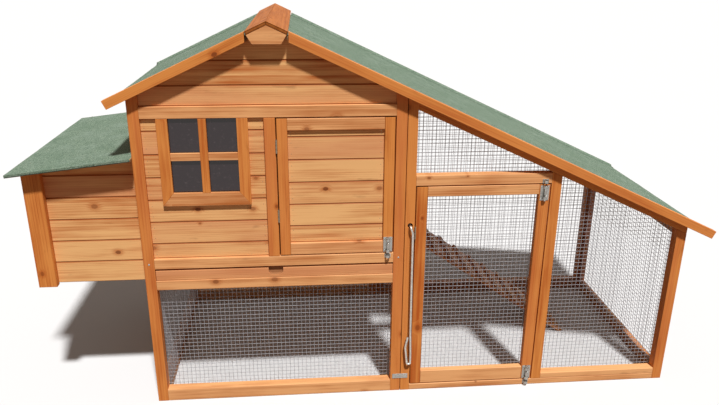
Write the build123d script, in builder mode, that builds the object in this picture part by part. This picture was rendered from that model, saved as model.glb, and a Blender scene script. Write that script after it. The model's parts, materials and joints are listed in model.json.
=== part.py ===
from build123d import *
import os
from math import cos, radians, sin, tan

# Wooden chicken coop: a raised house with a nest box on its left, and a netted run on its right,
# all under one roof whose right slope comes down over the run.
# +X goes along the front from the nest box to the end of the run, +Y from the front to the back,
# +Z up. The origin is on the ground below the middle of the overall box. Sizes in millimetres.

# Overall sizes
house_width = 748.0
run_width = 863.0
depth = 686.0
pitch = 25.0                # slope of the roof, degrees
eave_rise = 21.5            # from the lintel up to the roof panels, over the house's sides
left_eave = 55.0            # reach of the bargeboards past the house
right_eave = 77.0           # reach of the bargeboards past the run
roof_lap = 5.0              # roof panels stand this far past the frames, front and back

# Timbers
post = 30.0                 # square posts and the depth of the main rails
base_rail = 39.0
floor_rail = 30.0
lintel = 33.0
sill = 31.5
end_rail = 18.0             # lighter section of the run's end panel
slope_rail = 22.0           # height of the sloping rails, square to the slope
ease = 1.5                  # eased edges of the timbers
joint_gap = 0.3             # hairline between timbers that meet
frame_seam = 2.0            # between the house's frame and the run's

# Levels of the house front
leg_room = 340.0            # netted opening below the house
tray_slot = 32.0            # slot for the droppings tray, up to the foot of the walls
tray_head = 4.5             # room over the tray at the front, under the sill
door_room = 407.0           # opening of the house door
door_share = 0.4811         # house door's opening, as a share of the width between the posts
centre_stile = 31.0

# Cladding boards
board_cover = 65.4          # face width of one board
board_thick = 10.0
board_gap = 0.5
board_recess = 8.0          # boards of the front and back lie behind the frame's face
groove = 2.0                # chamfers that make the V between two boards
front_joint = 45.0          # first joint of the front boards, above the sill
gable_joint = 53.7          # first joint of the gable boards, above the lintel

# Nets: the real mesh has a 12.7 mm pitch, and about every sixth wire is shown
net_pitch = 76.2
net_bar = 3.0
net_thick = 1.5
net_lap = 12.0              # border stapled on the timbers
net_side_gap = 0.5

# Roof
panel_thick = 10.0
felt_thick = 2.5
barge_height = 25.0
barge_thick = 20.0
barge_rise = 10.0           # front bargeboards stand this far above the felt
back_barge_rise = 4.0
cap_width = 57.0
cap_thick = 10.0
ornament_foot = 75.0        # bottom width of the keystone below the cap
ornament_drop = 47.0        # from the top of the felt at the ridge to the keystone's bottom

# House door
door_gap = 3.0
door_thick = 20.0
door_stile = 29.0
door_top_rail = 34.0
door_bottom_rail = 36.0
door_board_thick = 8.0
door_joint = 53.0           # first joint of the door boards, below the top of the opening

# Window
window_margin = 42.0        # between the window and the post or stile beside it
window_drop = 246.0         # from the lintel to the foot of the frame
window_stile = 30.0
window_foot = 37.0
window_bar = 21.0
window_bar_level = 106.0    # middle of the cross bar, below the lintel
window_proud = 10.0         # frame stands on the boards
window_bar_proud = 8.0
pane_lap = 7.0
pane_thick = 3.0

# Floor, tray and perches
floor_thick = 8.0
tray_play = 1.0
tray_recess = 2.0           # tray's front lies behind the frame's face
tray_front_thick = 12.0
tray_sheet = 1.5
tray_wall = 20.0
tray_lip = 8.0              # the pan's front edge is low, so that it rakes out easily
tray_side_play = 3.0
tray_back_play = 6.0
finger_width = 42.0         # finger pull, sunk into the tray's front from its top edge
finger_height = 21.0
finger_sink = 8.0
finger_corner = 12.0
perch_width = 30.0
perch_height = 25.0
perch_level = 170.0         # underside of the perches above the floor panel
perch_spots = (130.0, 250.0)
perch_block = 40.0
perch_block_height = 30.0
perch_block_thick = 16.0

# Side walls of the house
hole_courses = 4            # boards high that the pop hole and the nest opening are
pop_front = 312.0           # front edge of the pop hole, from the front of the frame
pop_width = 206.0
nest_opening_inset = 60.0   # nest opening's sides, from the posts
hinge_rail = 32.0
plate_height = 34.0         # wall plates under the eaves, on the outer side

# Pop door, its runners and the draw rod
pop_lap = 12.0              # door past the hole at its sides
pop_edge = 6.0              # door past the hole at its top and bottom
pop_thick = 6.0
pop_play = 1.0
pop_travel = 220.0
runner_spacer = 18.0
runner_cover_thick = 5.0
runner_cover_lap = 6.0
runner_end = 10.0           # runners go on past the door's two end places
rod_radius = 3.5
rod_sides = 10              # flats of the rod
rod_hole_play = 4.0
rod_inset = 17.0            # rod's hole, from the house's side
rod_below = 10.8            # rod below the middle of the pop hole
rod_bend = 9.0
rod_hang = 12.0             # hanging part of the rod, in front of the frame
rod_drop = 458.0            # from the rod's level to the foot of its handle
rod_elbow = 20.0            # from the rod's level to the bend that lets it hang
rod_elbow_bend = 20.0
rod_sway = 6.5              # the rod hangs this far beside its hole
rod_lean = 3.0              # and further at the neck of its handle
handle_neck = 102.0         # heights of the handle, above its foot
handle_tip = 95.0
handle_left = 60.0          # widest place of its left side
handle_right = 37.0         # and of its right side
handle_bulge = 2.5          # right side past the neck
handle_width = 17.0
handle_foot = 10.0
handle_foot_bend = 4.2
handle_side_bend = 60.0
rod_tip_gap = 0.5
rod_block_length = 30.0
rod_block_height = 24.0
rod_block_thick = 20.0

# Ramp
ramp_run = 640.0            # horizontal length
ramp_width = 200.0
ramp_thick = 12.0
ramp_step = 70.0            # spacing of the cleats
ramp_cleat_width = 14.0
ramp_cleat_height = 8.0

# Nest box
nest_reach = 309.0
nest_inset = 30.0           # front and back of the nest box, from the frame's faces
nest_post = 51.0
nest_post_thick = 20.0
nest_rise = 11.0            # bottom of the boards above the bottom of the house's lower rails
nest_foot = 4.0             # posts go on below the boards
nest_side_recess = 6.0
nest_floor_rise = 6.0
nest_floor_thick = 9.0
nest_divider_thick = 8.0
nest_divider_play = 4.0
lid_rise = 10.0             # top of the lid above the bottom of the hinge rail, at the wall
lid_slope = 6.7             # degrees
lid_reach = 338.0
lid_wall_gap = 4.0
lid_seat = 0.3
lid_side = 5.0              # lid past the frame, front and back
lid_thick = 8.0
lid_felt = 2.0
lid_skirt = 7.0             # felt turned down over the lid's edges

# Run
run_door_opening = 396.0
run_top_gap = 3.5           # gable opening's height at the door post
run_top_rail = 31.0
threshold = 20.0
run_door_stile = 32.0
run_door_top_rail = 30.0
run_door_bottom_rail = 44.0
end_top_rail = 40.0         # depth of the end panel's top rail, on its outer side

# Butt hinges
hinge_length = 38.0
hinge_leaf_width = 16.0
leaf_thick = 1.1
knuckle_radius = 2.5
pin_radius = 1.5
running = 0.3               # clearance of turning parts
knuckle_sides = 12          # flats of the knuckles
door_hinge_low = 106.0      # lower end of the house door's lower hinge, above the sill
door_hinge_high = 308.0
run_hinge_low = 95.0        # lower end of the run door's lower hinge, above the threshold
run_hinge_high = 500.0
lid_hinge_inset = 120.0

# Barrel bolts
bolt_radius = 3.5
bolt_length = 46.0
bolt_height = 6.0           # axis above the plate's seat
bolt_play = 0.4
bolt_plate_width = 26.0
bolt_plate_start = 2.0      # from the door's edge
bolt_plate_thick = 1.2
bolt_guide_length = 8.0
bolt_guide_radius = 6.5
bolt_travel = 18.0
knob_radius = 3.2
knob_reach = 17.5
keeper_start = 4.5          # from the door's edge, on the frame's side
keeper_length = 12.0
keeper_width = 18.0

# Plates that tie the run to the house
tie_width = 48.0
tie_height = 16.0
tie_thick = 1.5
tie_level = 53.0

# Places worked out from these sizes
overall = lid_reach + house_width + run_width + right_eave
house_l = -overall / 2 + lid_reach
house_r = house_l + house_width
run_r = house_r + run_width
front = -depth / 2
back = depth / 2
inside_l = house_l + post
inside_r = house_r - post
inside_front = front + post
inside_back = back - post
ridge_x = (house_l + house_r) / 2
slope = radians(pitch)
lower_bottom = base_rail + leg_room
floor_level = lower_bottom + floor_rail
tray_top = floor_level + tray_slot
sill_bottom = tray_top + tray_head
sill_top = sill_bottom + sill
lintel_bottom = sill_top + door_room
lintel_top = lintel_bottom + lintel
door_jamb = inside_r - door_share * (inside_r - inside_l)
stile_left = door_jamb - centre_stile
run_l = house_r + frame_seam
run_inside = house_r + post
run_jamb = run_inside + run_door_opening
door_post_r = run_jamb + post
corner_l = run_r - post
end_l = run_r - end_rail
roof_front = front - roof_lap
roof_back = back + roof_lap
barge_front = roof_front - barge_thick
barge_back = roof_back + barge_thick
hole_top = tray_top + hole_courses * board_cover
hinge_rail_bottom = hole_top + board_cover
hinge_rail_top = hinge_rail_bottom + hinge_rail
lid_level = hinge_rail_bottom + lid_rise
nest_bottom = lower_bottom + nest_rise
roof_under = felt_thick + panel_thick + joint_gap
rail_under = roof_under + slope_rail
ridge_height = lintel_top + eave_rise + tan(slope) * house_width / 2 + roof_under / cos(slope)
rod_level = (tray_top + hole_top) / 2 - rod_below
rod_x = house_r + rod_inset


def on_slope(side, along, out):
    """Point (X, Z) of a roof slope: side -1 left or 1 right, along it from the ridge, out from the felt."""
    x = ridge_x + side * (along * cos(slope) + out * sin(slope))
    return x, ridge_height - along * sin(slope) + out * cos(slope)


def eave(side):
    """Length of a slope along the felt, from the ridge to the square-cut eave."""
    tip = house_l - left_eave if side < 0 else run_r + right_eave
    return (abs(tip - ridge_x) - barge_rise * sin(slope)) / cos(slope)


def roof_z(x, below):
    """Height over x of a surface that lies below the felt by this much, square to the slope."""
    return ridge_height - abs(x - ridge_x) * tan(slope) - below / cos(slope)


def roof_x(side, z, below):
    """Where that surface has the height z, on one side of the ridge."""
    return ridge_x + side * (roof_z(ridge_x, below) - z) / tan(slope)


def lid_z(x, below):
    """Height over x of a surface that lies below the top of the lid, square to its slope."""
    return lid_level + (x - house_l) * tan(radians(lid_slope)) - below / cos(radians(lid_slope))


run_top = roof_z(run_jamb, rail_under) - run_top_gap
run_door_top = run_top - run_top_rail
lid_under = lid_thick + lid_felt + lid_seat


def timber(x0, x1, y0, y1, z0, z1):
    """A squared timber between two opposite corners, with its four long edges eased."""
    lengths = [x1 - x0, y1 - y0, z1 - z0]
    long_axis = (Axis.X, Axis.Y, Axis.Z)[lengths.index(max(lengths))]
    with BuildPart() as bar:
        with BuildSketch(Plane.XY.offset(z0)):
            with Locations(((x0 + x1) / 2, (y0 + y1) / 2)):
                Rectangle(x1 - x0, y1 - y0)
        extrude(amount=z1 - z0)
        chamfer(bar.edges().filter_by(long_axis), length=ease)
    return bar.part


def slab(outline, y0, y1):
    """A piece whose outline is drawn in X and Z, from y0 back to y1."""
    with BuildPart() as piece:
        with BuildSketch(Plane((0, y0, 0), x_dir=(1, 0, 0), z_dir=(0, -1, 0))):
            with BuildLine():
                Polyline(*outline, close=True)
            make_face()
        extrude(amount=y0 - y1)
    return piece.part


def block(x0, x1, y0, y1, z0, z1):
    """A plain rectangular piece between two opposite corners."""
    return slab([(x0, z0), (x1, z0), (x1, z1), (x0, z1)], y0, y1)


def roof_post(x0, x1, y0, y1, z0, below):
    """An upright from z0 to a surface of the roof, its top cut to the slope."""
    return slab([(x0, z0), (x1, z0), (x1, roof_z(x1, below)), (x0, roof_z(x0, below))], y0, y1)


# Walls: plane of the boards' faces and the way in from it along the plane's normal
front_wall = (Plane((0, front + board_recess, 0), x_dir=(1, 0, 0), z_dir=(0, -1, 0)), -1)
back_wall = (Plane((0, back - board_recess, 0), x_dir=(1, 0, 0), z_dir=(0, -1, 0)), 1)
left_wall = (Plane((house_l, 0, 0), x_dir=(0, 1, 0), z_dir=(1, 0, 0)), 1)
right_wall = (Plane((house_r, 0, 0), x_dir=(0, 1, 0), z_dir=(1, 0, 0)), -1)


def courses(low, high, joint):
    """Bottom and top of each board that fills a wall from low to high, with a joint at this height."""
    first = joint - board_cover * int((joint - low) / board_cover + 1)
    joints = [first + board_cover * n for n in range(int((high - first) / board_cover) + 1)]
    inner = [z for z in joints if low + 2 * groove < z < high - 2 * groove]
    levels = [low] + inner + [high]
    return list(zip(levels[:-1], levels[1:]))


def board(wall, outline, thick=board_thick):
    """One cladding board, its outline drawn on the wall's face, with a chamfer along each long edge."""
    plane, inward = wall
    with BuildPart() as piece:
        with BuildSketch(plane):
            with BuildLine():
                Polyline(*outline, close=True)
            make_face()
        extrude(amount=inward * thick)
        across = piece.faces().sort_by(Axis(plane.origin, plane.z_dir * inward))
        chamfer(across[0].edges().filter_by(Axis(plane.origin, plane.x_dir)), length=groove)
    return piece.part


def straight_board(wall, u0, u1, z0, z1, thick=board_thick):
    """A board of one course between two places along the wall."""
    low, high = z0 + board_gap / 2, z1 - board_gap / 2
    return board(wall, [(u0, low), (u1, low), (u1, high), (u0, high)], thick)


def wall_boards(wall, u0, u1, spans):
    """Full boards of the given courses between two places along the wall."""
    return [straight_board(wall, u0, u1, z0, z1) for z0, z1 in spans]


def holed_wall(wall, u0, u1, hole0, hole1, spans, hole_low, hole_high):
    """Boards of a wall with an opening, which cuts the boards of its courses in two."""
    boards = []
    for z0, z1 in spans:
        if z0 > hole_low - groove and z1 < hole_high + groove:
            boards.append(straight_board(wall, u0, hole0, z0, z1))
            boards.append(straight_board(wall, hole1, u1, z0, z1))
        else:
            boards.append(straight_board(wall, u0, u1, z0, z1))
    return boards


def gable_board(wall, z0, z1):
    """A board of the gable, cut to the slopes where it meets the roof."""
    low, high = z0 + board_gap / 2, z1 - board_gap / 2
    left = inside_l + joint_gap
    right = inside_r - joint_gap
    peak = roof_z(ridge_x, roof_under)
    outline = []
    if roof_z(left, roof_under) > low:
        outline += [(left, low), (right, low)]
        outline += [(right, min(high, roof_z(right, roof_under)))]
    else:
        outline += [(roof_x(-1, low, roof_under), low), (roof_x(1, low, roof_under), low)]
    if high < peak:
        right_top = min(right, roof_x(1, high, roof_under))
        left_top = max(left, roof_x(-1, high, roof_under))
        outline += [(x, high) for x in (right_top, left_top)]
    else:
        outline += [(ridge_x, peak)]
    if roof_z(left, roof_under) > low:
        outline += [(left, min(high, roof_z(left, roof_under)))]
    corners = [p for n, p in enumerate(outline) if p != outline[n - 1]]
    return board(wall, corners)


def net(plane, outline, opening):
    """A flat net: one face with square gaps inside the opening, whose border lies on the timbers."""
    u0 = min(u for u, v in opening)
    v0 = min(v for u, v in opening)
    width = max(u for u, v in opening) - u0
    height = max(v for u, v in opening) - v0
    columns = round(width / net_pitch)
    rows = round(height / net_pitch)
    step_u = width / columns
    step_v = height / rows
    with BuildSketch(plane) as gaps:
        with Locations((u0 + width / 2, v0 + height / 2)):
            with GridLocations(step_u, step_v, columns, rows):
                Rectangle(step_u - net_bar, step_v - net_bar)
        with BuildLine():
            Polyline(*opening, close=True)
        make_face(mode=Mode.INTERSECT)
    with BuildPart() as piece:
        with BuildSketch(plane):
            with BuildLine():
                Polyline(*outline, close=True)
            make_face()
            add(gaps.sketch_local, mode=Mode.SUBTRACT)
        extrude(amount=net_thick)
    return piece.part


def rectangle(u0, u1, v0, v1):
    """The four corners of a rectangle."""
    return [(u0, v0), (u1, v0), (u1, v1), (u0, v1)]


def under_slope(x0, x1, z0, below):
    """Outline from z0 up to a surface of the right slope, between x0 and x1."""
    return [(x0, z0), (x1, z0), (x1, roof_z(x1, below)), (x0, roof_z(x0, below))]


def strip(angle, near, far, start, end):
    """Corners of a hinge plate along a direction from the pin, lying to the left of that direction."""
    a = radians(angle)
    along = (cos(a), sin(a))
    left = (-sin(a), cos(a))
    places = [(start, near), (end, near), (end, far), (start, far)]
    return [(t * along[0] + n * left[0], t * along[1] + n * left[1]) for t, n in places]


knuckle_length = (hinge_length - 2 * running) / 3
knuckle_step = knuckle_length + running


def hinge_leaf(foot, angle, near, far, pinned):
    """One leaf of a butt hinge: the pinned leaf has the two outer knuckles, the other the middle one."""
    knuckles = (0, 2 * knuckle_step) if pinned else (knuckle_step,)
    clear = knuckle_radius + running
    with BuildPart() as leaf:
        with BuildSketch(foot):
            with BuildLine():
                Polyline(*strip(angle, near, far, clear, hinge_leaf_width), close=True)
            make_face()
        extrude(amount=hinge_length)
        for start in knuckles:
            with BuildSketch(foot.offset(start)):
                RegularPolygon(knuckle_radius, knuckle_sides)
                with BuildLine():
                    Polyline(*strip(angle, near, far, 0, hinge_leaf_width / 2), close=True)
                make_face()
            extrude(amount=knuckle_length)
        with BuildSketch(foot):
            Circle(pin_radius if pinned else pin_radius + running)
        extrude(amount=hinge_length, mode=Mode.ADD if pinned else Mode.SUBTRACT)
    return leaf.part


def door_hinge(gap_x, level):
    """Foot of a door hinge, whose leaves lie in the gap at the door's left and whose pin is in front."""
    return Plane((gap_x, front - knuckle_radius - running, level), x_dir=(1, 0, 0), z_dir=(0, 0, 1))


def guide_plane(edge, start):
    """Plane across a barrel bolt, at a place along it from the door's edge."""
    return Plane(edge.from_local_coords((0, start, 0)), x_dir=edge.x_dir, z_dir=edge.y_dir)


def bolt_strap(edge, start, length):
    """A bolt's guide: an arched strap with the bolt's bore, between two places along the bolt."""
    with BuildPart() as strap:
        with BuildSketch(guide_plane(edge, start)):
            with Locations((0, -bolt_height)):
                Circle(bolt_guide_radius)
            with Locations((0, -bolt_height / 2)):
                Rectangle(2 * bolt_guide_radius, bolt_height)
            with Locations((0, bolt_guide_radius)):
                Rectangle(4 * bolt_guide_radius, 2 * bolt_guide_radius, mode=Mode.SUBTRACT)
            with Locations((0, -bolt_height)):
                Circle(bolt_radius + bolt_play, mode=Mode.SUBTRACT)
        extrude(amount=length)
    return strap.part


guide_gap = bolt_travel + 2 * knob_radius + 2 * running
far_guide = bolt_plate_start + bolt_guide_length + guide_gap
bolt_plate_length = bolt_length


def bolt_case(edge):
    """Plate and two guides of a barrel bolt, at a door's edge."""
    straps = [bolt_strap(edge, start, bolt_guide_length) for start in (bolt_plate_start, far_guide)]
    with BuildPart() as case:
        with BuildSketch(edge):
            with Locations((0, bolt_plate_start + bolt_plate_length / 2)):
                Rectangle(bolt_plate_width, bolt_plate_length)
        extrude(amount=bolt_plate_thick)
        add(straps)
    return case.part


def bolt_rod(edge):
    """The sliding bolt with its knob, drawn back behind the door's edge."""
    knob_place = far_guide - running - knob_radius
    with BuildPart() as rod:
        with BuildSketch(guide_plane(edge, bolt_plate_start)):
            with Locations((0, -bolt_height)):
                Circle(bolt_radius)
        extrude(amount=bolt_length)
        with BuildSketch(edge.offset(bolt_height)):
            with Locations((0, knob_place)):
                Circle(knob_radius)
        extrude(amount=knob_reach - bolt_height)
        chamfer(rod.faces().sort_by(Axis(edge.origin, edge.z_dir))[-1].edges(), length=knob_radius / 3)
    return rod.part


def bolt_keeper(edge):
    """The keeper on the frame that a barrel bolt slides into."""
    strap_start = -keeper_start - (keeper_length + bolt_guide_length) / 2
    strap = bolt_strap(edge, strap_start, bolt_guide_length)
    with BuildPart() as keeper:
        with BuildSketch(edge):
            with Locations((0, -keeper_start - keeper_length / 2)):
                Rectangle(keeper_width, keeper_length)
        extrude(amount=bolt_plate_thick)
        add(strap)
    return keeper.part


def save(builder, name):
    """Label a finished piece and write it."""
    builder.part.label = name
    export_step(builder.part, f"parts/{name}.step")


os.makedirs("parts", exist_ok=True)

# House frame
post_pieces = [
    roof_post(x, x + post, y, y + post, 0, roof_under)
    for x in (house_l, inside_r)
    for y in (front, inside_back)
]
with BuildPart() as house_posts:
    add(post_pieces)
save(house_posts, "house_posts")

rail_l = inside_l + joint_gap
rail_r = inside_r - joint_gap
front_rails = [(0, base_rail), (lower_bottom, floor_level),
               (sill_bottom, sill_top), (lintel_bottom, lintel_top)]
with BuildPart() as house_front_rails:
    add([timber(rail_l, rail_r, front, inside_front, z0, z1) for z0, z1 in front_rails])
save(house_front_rails, "house_front_rails")

with BuildPart() as house_centre_stile:
    add(timber(stile_left, door_jamb, front, inside_front, sill_top + joint_gap, lintel_bottom - joint_gap))
save(house_centre_stile, "house_centre_stile")

back_rails = [(0, base_rail), (lower_bottom, tray_top), (lintel_bottom, lintel_top)]
with BuildPart() as house_back_rails:
    add([timber(rail_l, rail_r, inside_back, back, z0, z1) for z0, z1 in back_rails])
save(house_back_rails, "house_back_rails")

side_front = inside_front + joint_gap
side_back = inside_back - joint_gap
plate_bottom = roof_z(house_l, roof_under) - plate_height
left_rails = [(0, base_rail), (lower_bottom, floor_level), (hinge_rail_bottom, hinge_rail_top)]
side_rails = [timber(house_l, inside_l, side_front, side_back, z0, z1) for z0, z1 in left_rails]
side_rails += [timber(inside_r, house_r, side_front, side_back, lower_bottom, floor_level)]
side_rails += [
    roof_post(x, x + post, side_front, side_back, plate_bottom, roof_under) for x in (house_l, inside_r)
]
with BuildPart() as house_side_rails:
    add(side_rails)
save(house_side_rails, "house_side_rails")

# Cladding of the house
window_l = inside_l + window_margin
window_r = stile_left - window_margin
window_bottom = lintel_bottom - window_drop
pane_l = window_l + window_stile - pane_lap
pane_r = window_r - window_stile + pane_lap
front_spans = courses(sill_top, lintel_bottom, sill_top + front_joint)
sill_course = [z0 for z0, z1 in front_spans if z0 > window_bottom][0]
front_boards = holed_wall(front_wall, rail_l, stile_left - joint_gap, pane_l, pane_r,
                          front_spans, sill_course, lintel_bottom)
gable_spans = courses(lintel_top, roof_z(ridge_x, roof_under), lintel_top + gable_joint)
with BuildPart() as front_wall_boards:
    add(front_boards)
    add([gable_board(front_wall, z0, z1) for z0, z1 in gable_spans])
save(front_wall_boards, "front_wall_boards")

with BuildPart() as back_wall_boards:
    add(wall_boards(back_wall, rail_l, rail_r, courses(tray_top, lintel_bottom, tray_top)))
    add([gable_board(back_wall, z0, z1) for z0, z1 in gable_spans])
save(back_wall_boards, "back_wall_boards")

nest_hole_front = inside_front + nest_opening_inset
nest_hole_back = inside_back - nest_opening_inset
low_spans = courses(floor_level, hinge_rail_bottom, tray_top)
high_spans = courses(hinge_rail_top, plate_bottom, hinge_rail_top)
with BuildPart() as left_wall_boards:
    add(holed_wall(left_wall, side_front, side_back, nest_hole_front, nest_hole_back,
                   low_spans, tray_top, hole_top))
    add(wall_boards(left_wall, side_front, side_back, high_spans))
save(left_wall_boards, "left_wall_boards")

pop_hole_front = front + pop_front
pop_hole_back = pop_hole_front + pop_width
with BuildPart() as right_wall_boards:
    add(holed_wall(right_wall, side_front, side_back, pop_hole_front, pop_hole_back,
                   courses(floor_level, plate_bottom, tray_top), tray_top, hole_top))
save(right_wall_boards, "right_wall_boards")

# Window
window_face = front + board_recess
window_top = lintel_bottom - joint_gap
inner_l = window_l + window_stile
inner_r = window_r - window_stile
inner_bottom = window_bottom + window_foot
bar_l = (window_l + window_r - window_bar) / 2
bar_r = bar_l + window_bar
bar_low = lintel_bottom - window_bar_level - window_bar / 2
bar_high = bar_low + window_bar
mitre = joint_gap
left_stile = [(window_l, window_bottom + mitre), (inner_l, inner_bottom + mitre),
              (inner_l, window_top), (window_l, window_top)]
right_stile = [(window_l + window_r - x, z) for x, z in left_stile]
foot_rail = [(window_l, window_bottom), (window_r, window_bottom),
             (inner_r, inner_bottom), (inner_l, inner_bottom)]
middle_bar = rectangle(bar_l, bar_r, inner_bottom + joint_gap, window_top)
cross_bars = [rectangle(inner_l + joint_gap, bar_l - joint_gap, bar_low, bar_high),
              rectangle(bar_r + joint_gap, inner_r - joint_gap, bar_low, bar_high)]
frame_pieces = [slab(p, window_face - window_proud, window_face)
                for p in (left_stile, right_stile, foot_rail, middle_bar)]
frame_pieces += [slab(p, window_face - window_bar_proud, window_face) for p in cross_bars]
with BuildPart() as window_frame:
    add(frame_pieces)
save(window_frame, "window_frame")

with BuildPart() as window_pane:
    add(block(pane_l + joint_gap, pane_r - joint_gap, window_face, window_face + pane_thick,
              sill_course + joint_gap, lintel_bottom - joint_gap))
save(window_pane, "window_pane")

# Floor and perches
floor_l = house_l + board_thick + joint_gap
floor_r = house_r - board_thick - joint_gap
floor_top = floor_level + floor_thick
with BuildPart() as floor_panel:
    add(block(floor_l, floor_r, side_front, side_back, floor_level, floor_top))
save(floor_panel, "floor_panel")

boards_front = front + board_recess + board_thick
boards_back = back - board_recess - board_thick
perch_z = floor_top + perch_level
perch_places = [house_l + spot for spot in perch_spots]
with BuildPart() as perches:
    add([timber(x - perch_width / 2, x + perch_width / 2, boards_front + joint_gap, boards_back - joint_gap,
                perch_z, perch_z + perch_height) for x in perch_places])
save(perches, "perches")

block_spans = [(boards_front, boards_front + perch_block_thick),
               (boards_back - perch_block_thick, boards_back)]
with BuildPart() as perch_blocks:
    add([block(x - perch_block / 2, x + perch_block / 2, y0, y1, perch_z - perch_block_height, perch_z)
         for x in perch_places for y0, y1 in block_spans])
save(perch_blocks, "perch_blocks")

# Droppings tray
tray_l = inside_l + tray_play
tray_r = inside_r - tray_play
tray_low = floor_level + tray_play
tray_high = tray_top - tray_play
pan_low = floor_top + joint_gap
pan_l = inside_l + tray_side_play
pan_r = inside_r - tray_side_play
tray_face = front + tray_recess
pan_front = tray_face + tray_front_thick
pan_back = inside_back - tray_back_play
with BuildPart() as tray_front:
    add(block(tray_l, tray_r, tray_face, pan_front, tray_low, tray_high))
    with BuildSketch(Plane((ridge_x, tray_face, tray_high), x_dir=(1, 0, 0), z_dir=(0, -1, 0))):
        RectangleRounded(finger_width, 2 * finger_height, finger_corner)
    extrude(amount=-finger_sink, mode=Mode.SUBTRACT)
save(tray_front, "tray_front")

with BuildPart() as tray_pan:
    with BuildSketch(Plane.XY.offset(pan_low)):
        with Locations(((pan_l + pan_r) / 2, (pan_front + pan_back) / 2)):
            Rectangle(pan_r - pan_l, pan_back - pan_front)
    extrude(amount=tray_wall)
    offset(amount=-tray_sheet, openings=tray_pan.faces().sort_by(Axis.Z)[-1])
    with BuildSketch(Plane.XY.offset(pan_low + tray_lip)):
        with Locations(((pan_l + pan_r) / 2, pan_front)):
            Rectangle(pan_r - pan_l - 2 * tray_sheet, 4 * tray_sheet)
    extrude(amount=tray_wall, mode=Mode.SUBTRACT)
save(tray_pan, "tray_pan")

# House door
leaf_l = door_jamb + door_gap
leaf_r = inside_r - door_gap
leaf_low = sill_top + door_gap
leaf_high = lintel_bottom - door_gap
door_back = front + door_thick
panel_l = leaf_l + door_stile + joint_gap
panel_r = leaf_r - door_stile - joint_gap
door_frame = [timber(x, x + door_stile, front, door_back, leaf_low, leaf_high)
              for x in (leaf_l, leaf_r - door_stile)]
door_frame += [timber(panel_l, panel_r, front, door_back, z0, z1)
               for z0, z1 in ((leaf_low, leaf_low + door_bottom_rail), (leaf_high - door_top_rail, leaf_high))]
with BuildPart() as house_door_frame:
    add(door_frame)
save(house_door_frame, "house_door_frame")

door_spans = courses(leaf_low + door_bottom_rail, leaf_high - door_top_rail, leaf_high - door_joint)
with BuildPart() as house_door_boards:
    add([straight_board(front_wall, panel_l, panel_r, z0, z1, door_board_thick) for z0, z1 in door_spans])
save(house_door_boards, "house_door_boards")

door_gap_x = door_jamb + door_gap / 2
door_feet = [door_hinge(door_gap_x, sill_top + level) for level in (door_hinge_low, door_hinge_high)]
leaf_far = door_gap / 2
leaf_near = leaf_far - leaf_thick
with BuildPart() as house_door_hinge_leaves:
    add([hinge_leaf(foot, 90, -leaf_near, -leaf_far, pinned=False) for foot in door_feet])
save(house_door_hinge_leaves, "house_door_hinge_leaves")

door_bolt_edge = Plane((leaf_r - door_stile / 2, front, leaf_low), x_dir=(1, 0, 0), z_dir=(0, -1, 0))
with BuildPart() as house_door_bolt_case:
    add(bolt_case(door_bolt_edge))
save(house_door_bolt_case, "house_door_bolt_case")

with BuildPart() as house_door_bolt:
    add(bolt_rod(door_bolt_edge))
save(house_door_bolt, "house_door_bolt")

# Run frame
with BuildPart() as rod_post:
    add(roof_post(run_l, run_inside, front, inside_front, 0, roof_under))
    with BuildSketch(Plane((rod_x, front, rod_level), x_dir=(1, 0, 0), z_dir=(0, -1, 0))):
        Circle(rod_radius + rod_hole_play)
    extrude(amount=-post, mode=Mode.SUBTRACT)

run_post_pieces = [
    rod_post.part,
    roof_post(run_jamb, door_post_r, front, inside_front, threshold + joint_gap, rail_under + joint_gap),
    roof_post(corner_l, run_r, front, inside_front, 0, rail_under + joint_gap),
    roof_post(run_l, run_inside, inside_back, back, 0, roof_under),
    roof_post(corner_l, run_r, inside_back, back, 0, rail_under + joint_gap),
]
with BuildPart() as run_posts:
    add(run_post_pieces)
save(run_posts, "run_posts")


def sloping_rail(y0, y1):
    """Rail under the roof panel from the run's first post to its end."""
    start = run_inside + joint_gap
    outline = [(x, roof_z(x, below)) for x, below in
               ((start, rail_under), (run_r, rail_under), (run_r, roof_under), (start, roof_under))]
    return slab(outline, y0, y1)


run_rail_l = run_inside + joint_gap
front_pieces = [
    timber(run_rail_l, corner_l - joint_gap, front, inside_front, 0, threshold),
    timber(door_post_r + joint_gap, corner_l - joint_gap, front, inside_front,
           threshold + joint_gap, base_rail),
    timber(run_rail_l, run_jamb - joint_gap, front, inside_front, run_door_top, run_top),
    sloping_rail(front, inside_front),
]
with BuildPart() as run_front_rails:
    add(front_pieces)
save(run_front_rails, "run_front_rails")

with BuildPart() as run_back_rails:
    add(timber(run_rail_l, corner_l - joint_gap, inside_back, back, 0, base_rail))
    add(sloping_rail(inside_back, back))
save(run_back_rails, "run_back_rails")

end_front = inside_front + end_rail
end_back = inside_back - end_rail
end_rail_low = roof_z(run_r, roof_under) - end_top_rail
end_pieces = [roof_post(end_l, run_r, y, y + end_rail, 0, roof_under) for y in (inside_front, end_back)]
end_pieces += [
    timber(end_l, run_r, end_front + joint_gap, end_back - joint_gap, 0, base_rail),
    roof_post(end_l, run_r, end_front + joint_gap, end_back - joint_gap, end_rail_low, roof_under),
]
with BuildPart() as run_end_frame:
    add(end_pieces)
save(run_end_frame, "run_end_frame")

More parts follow.
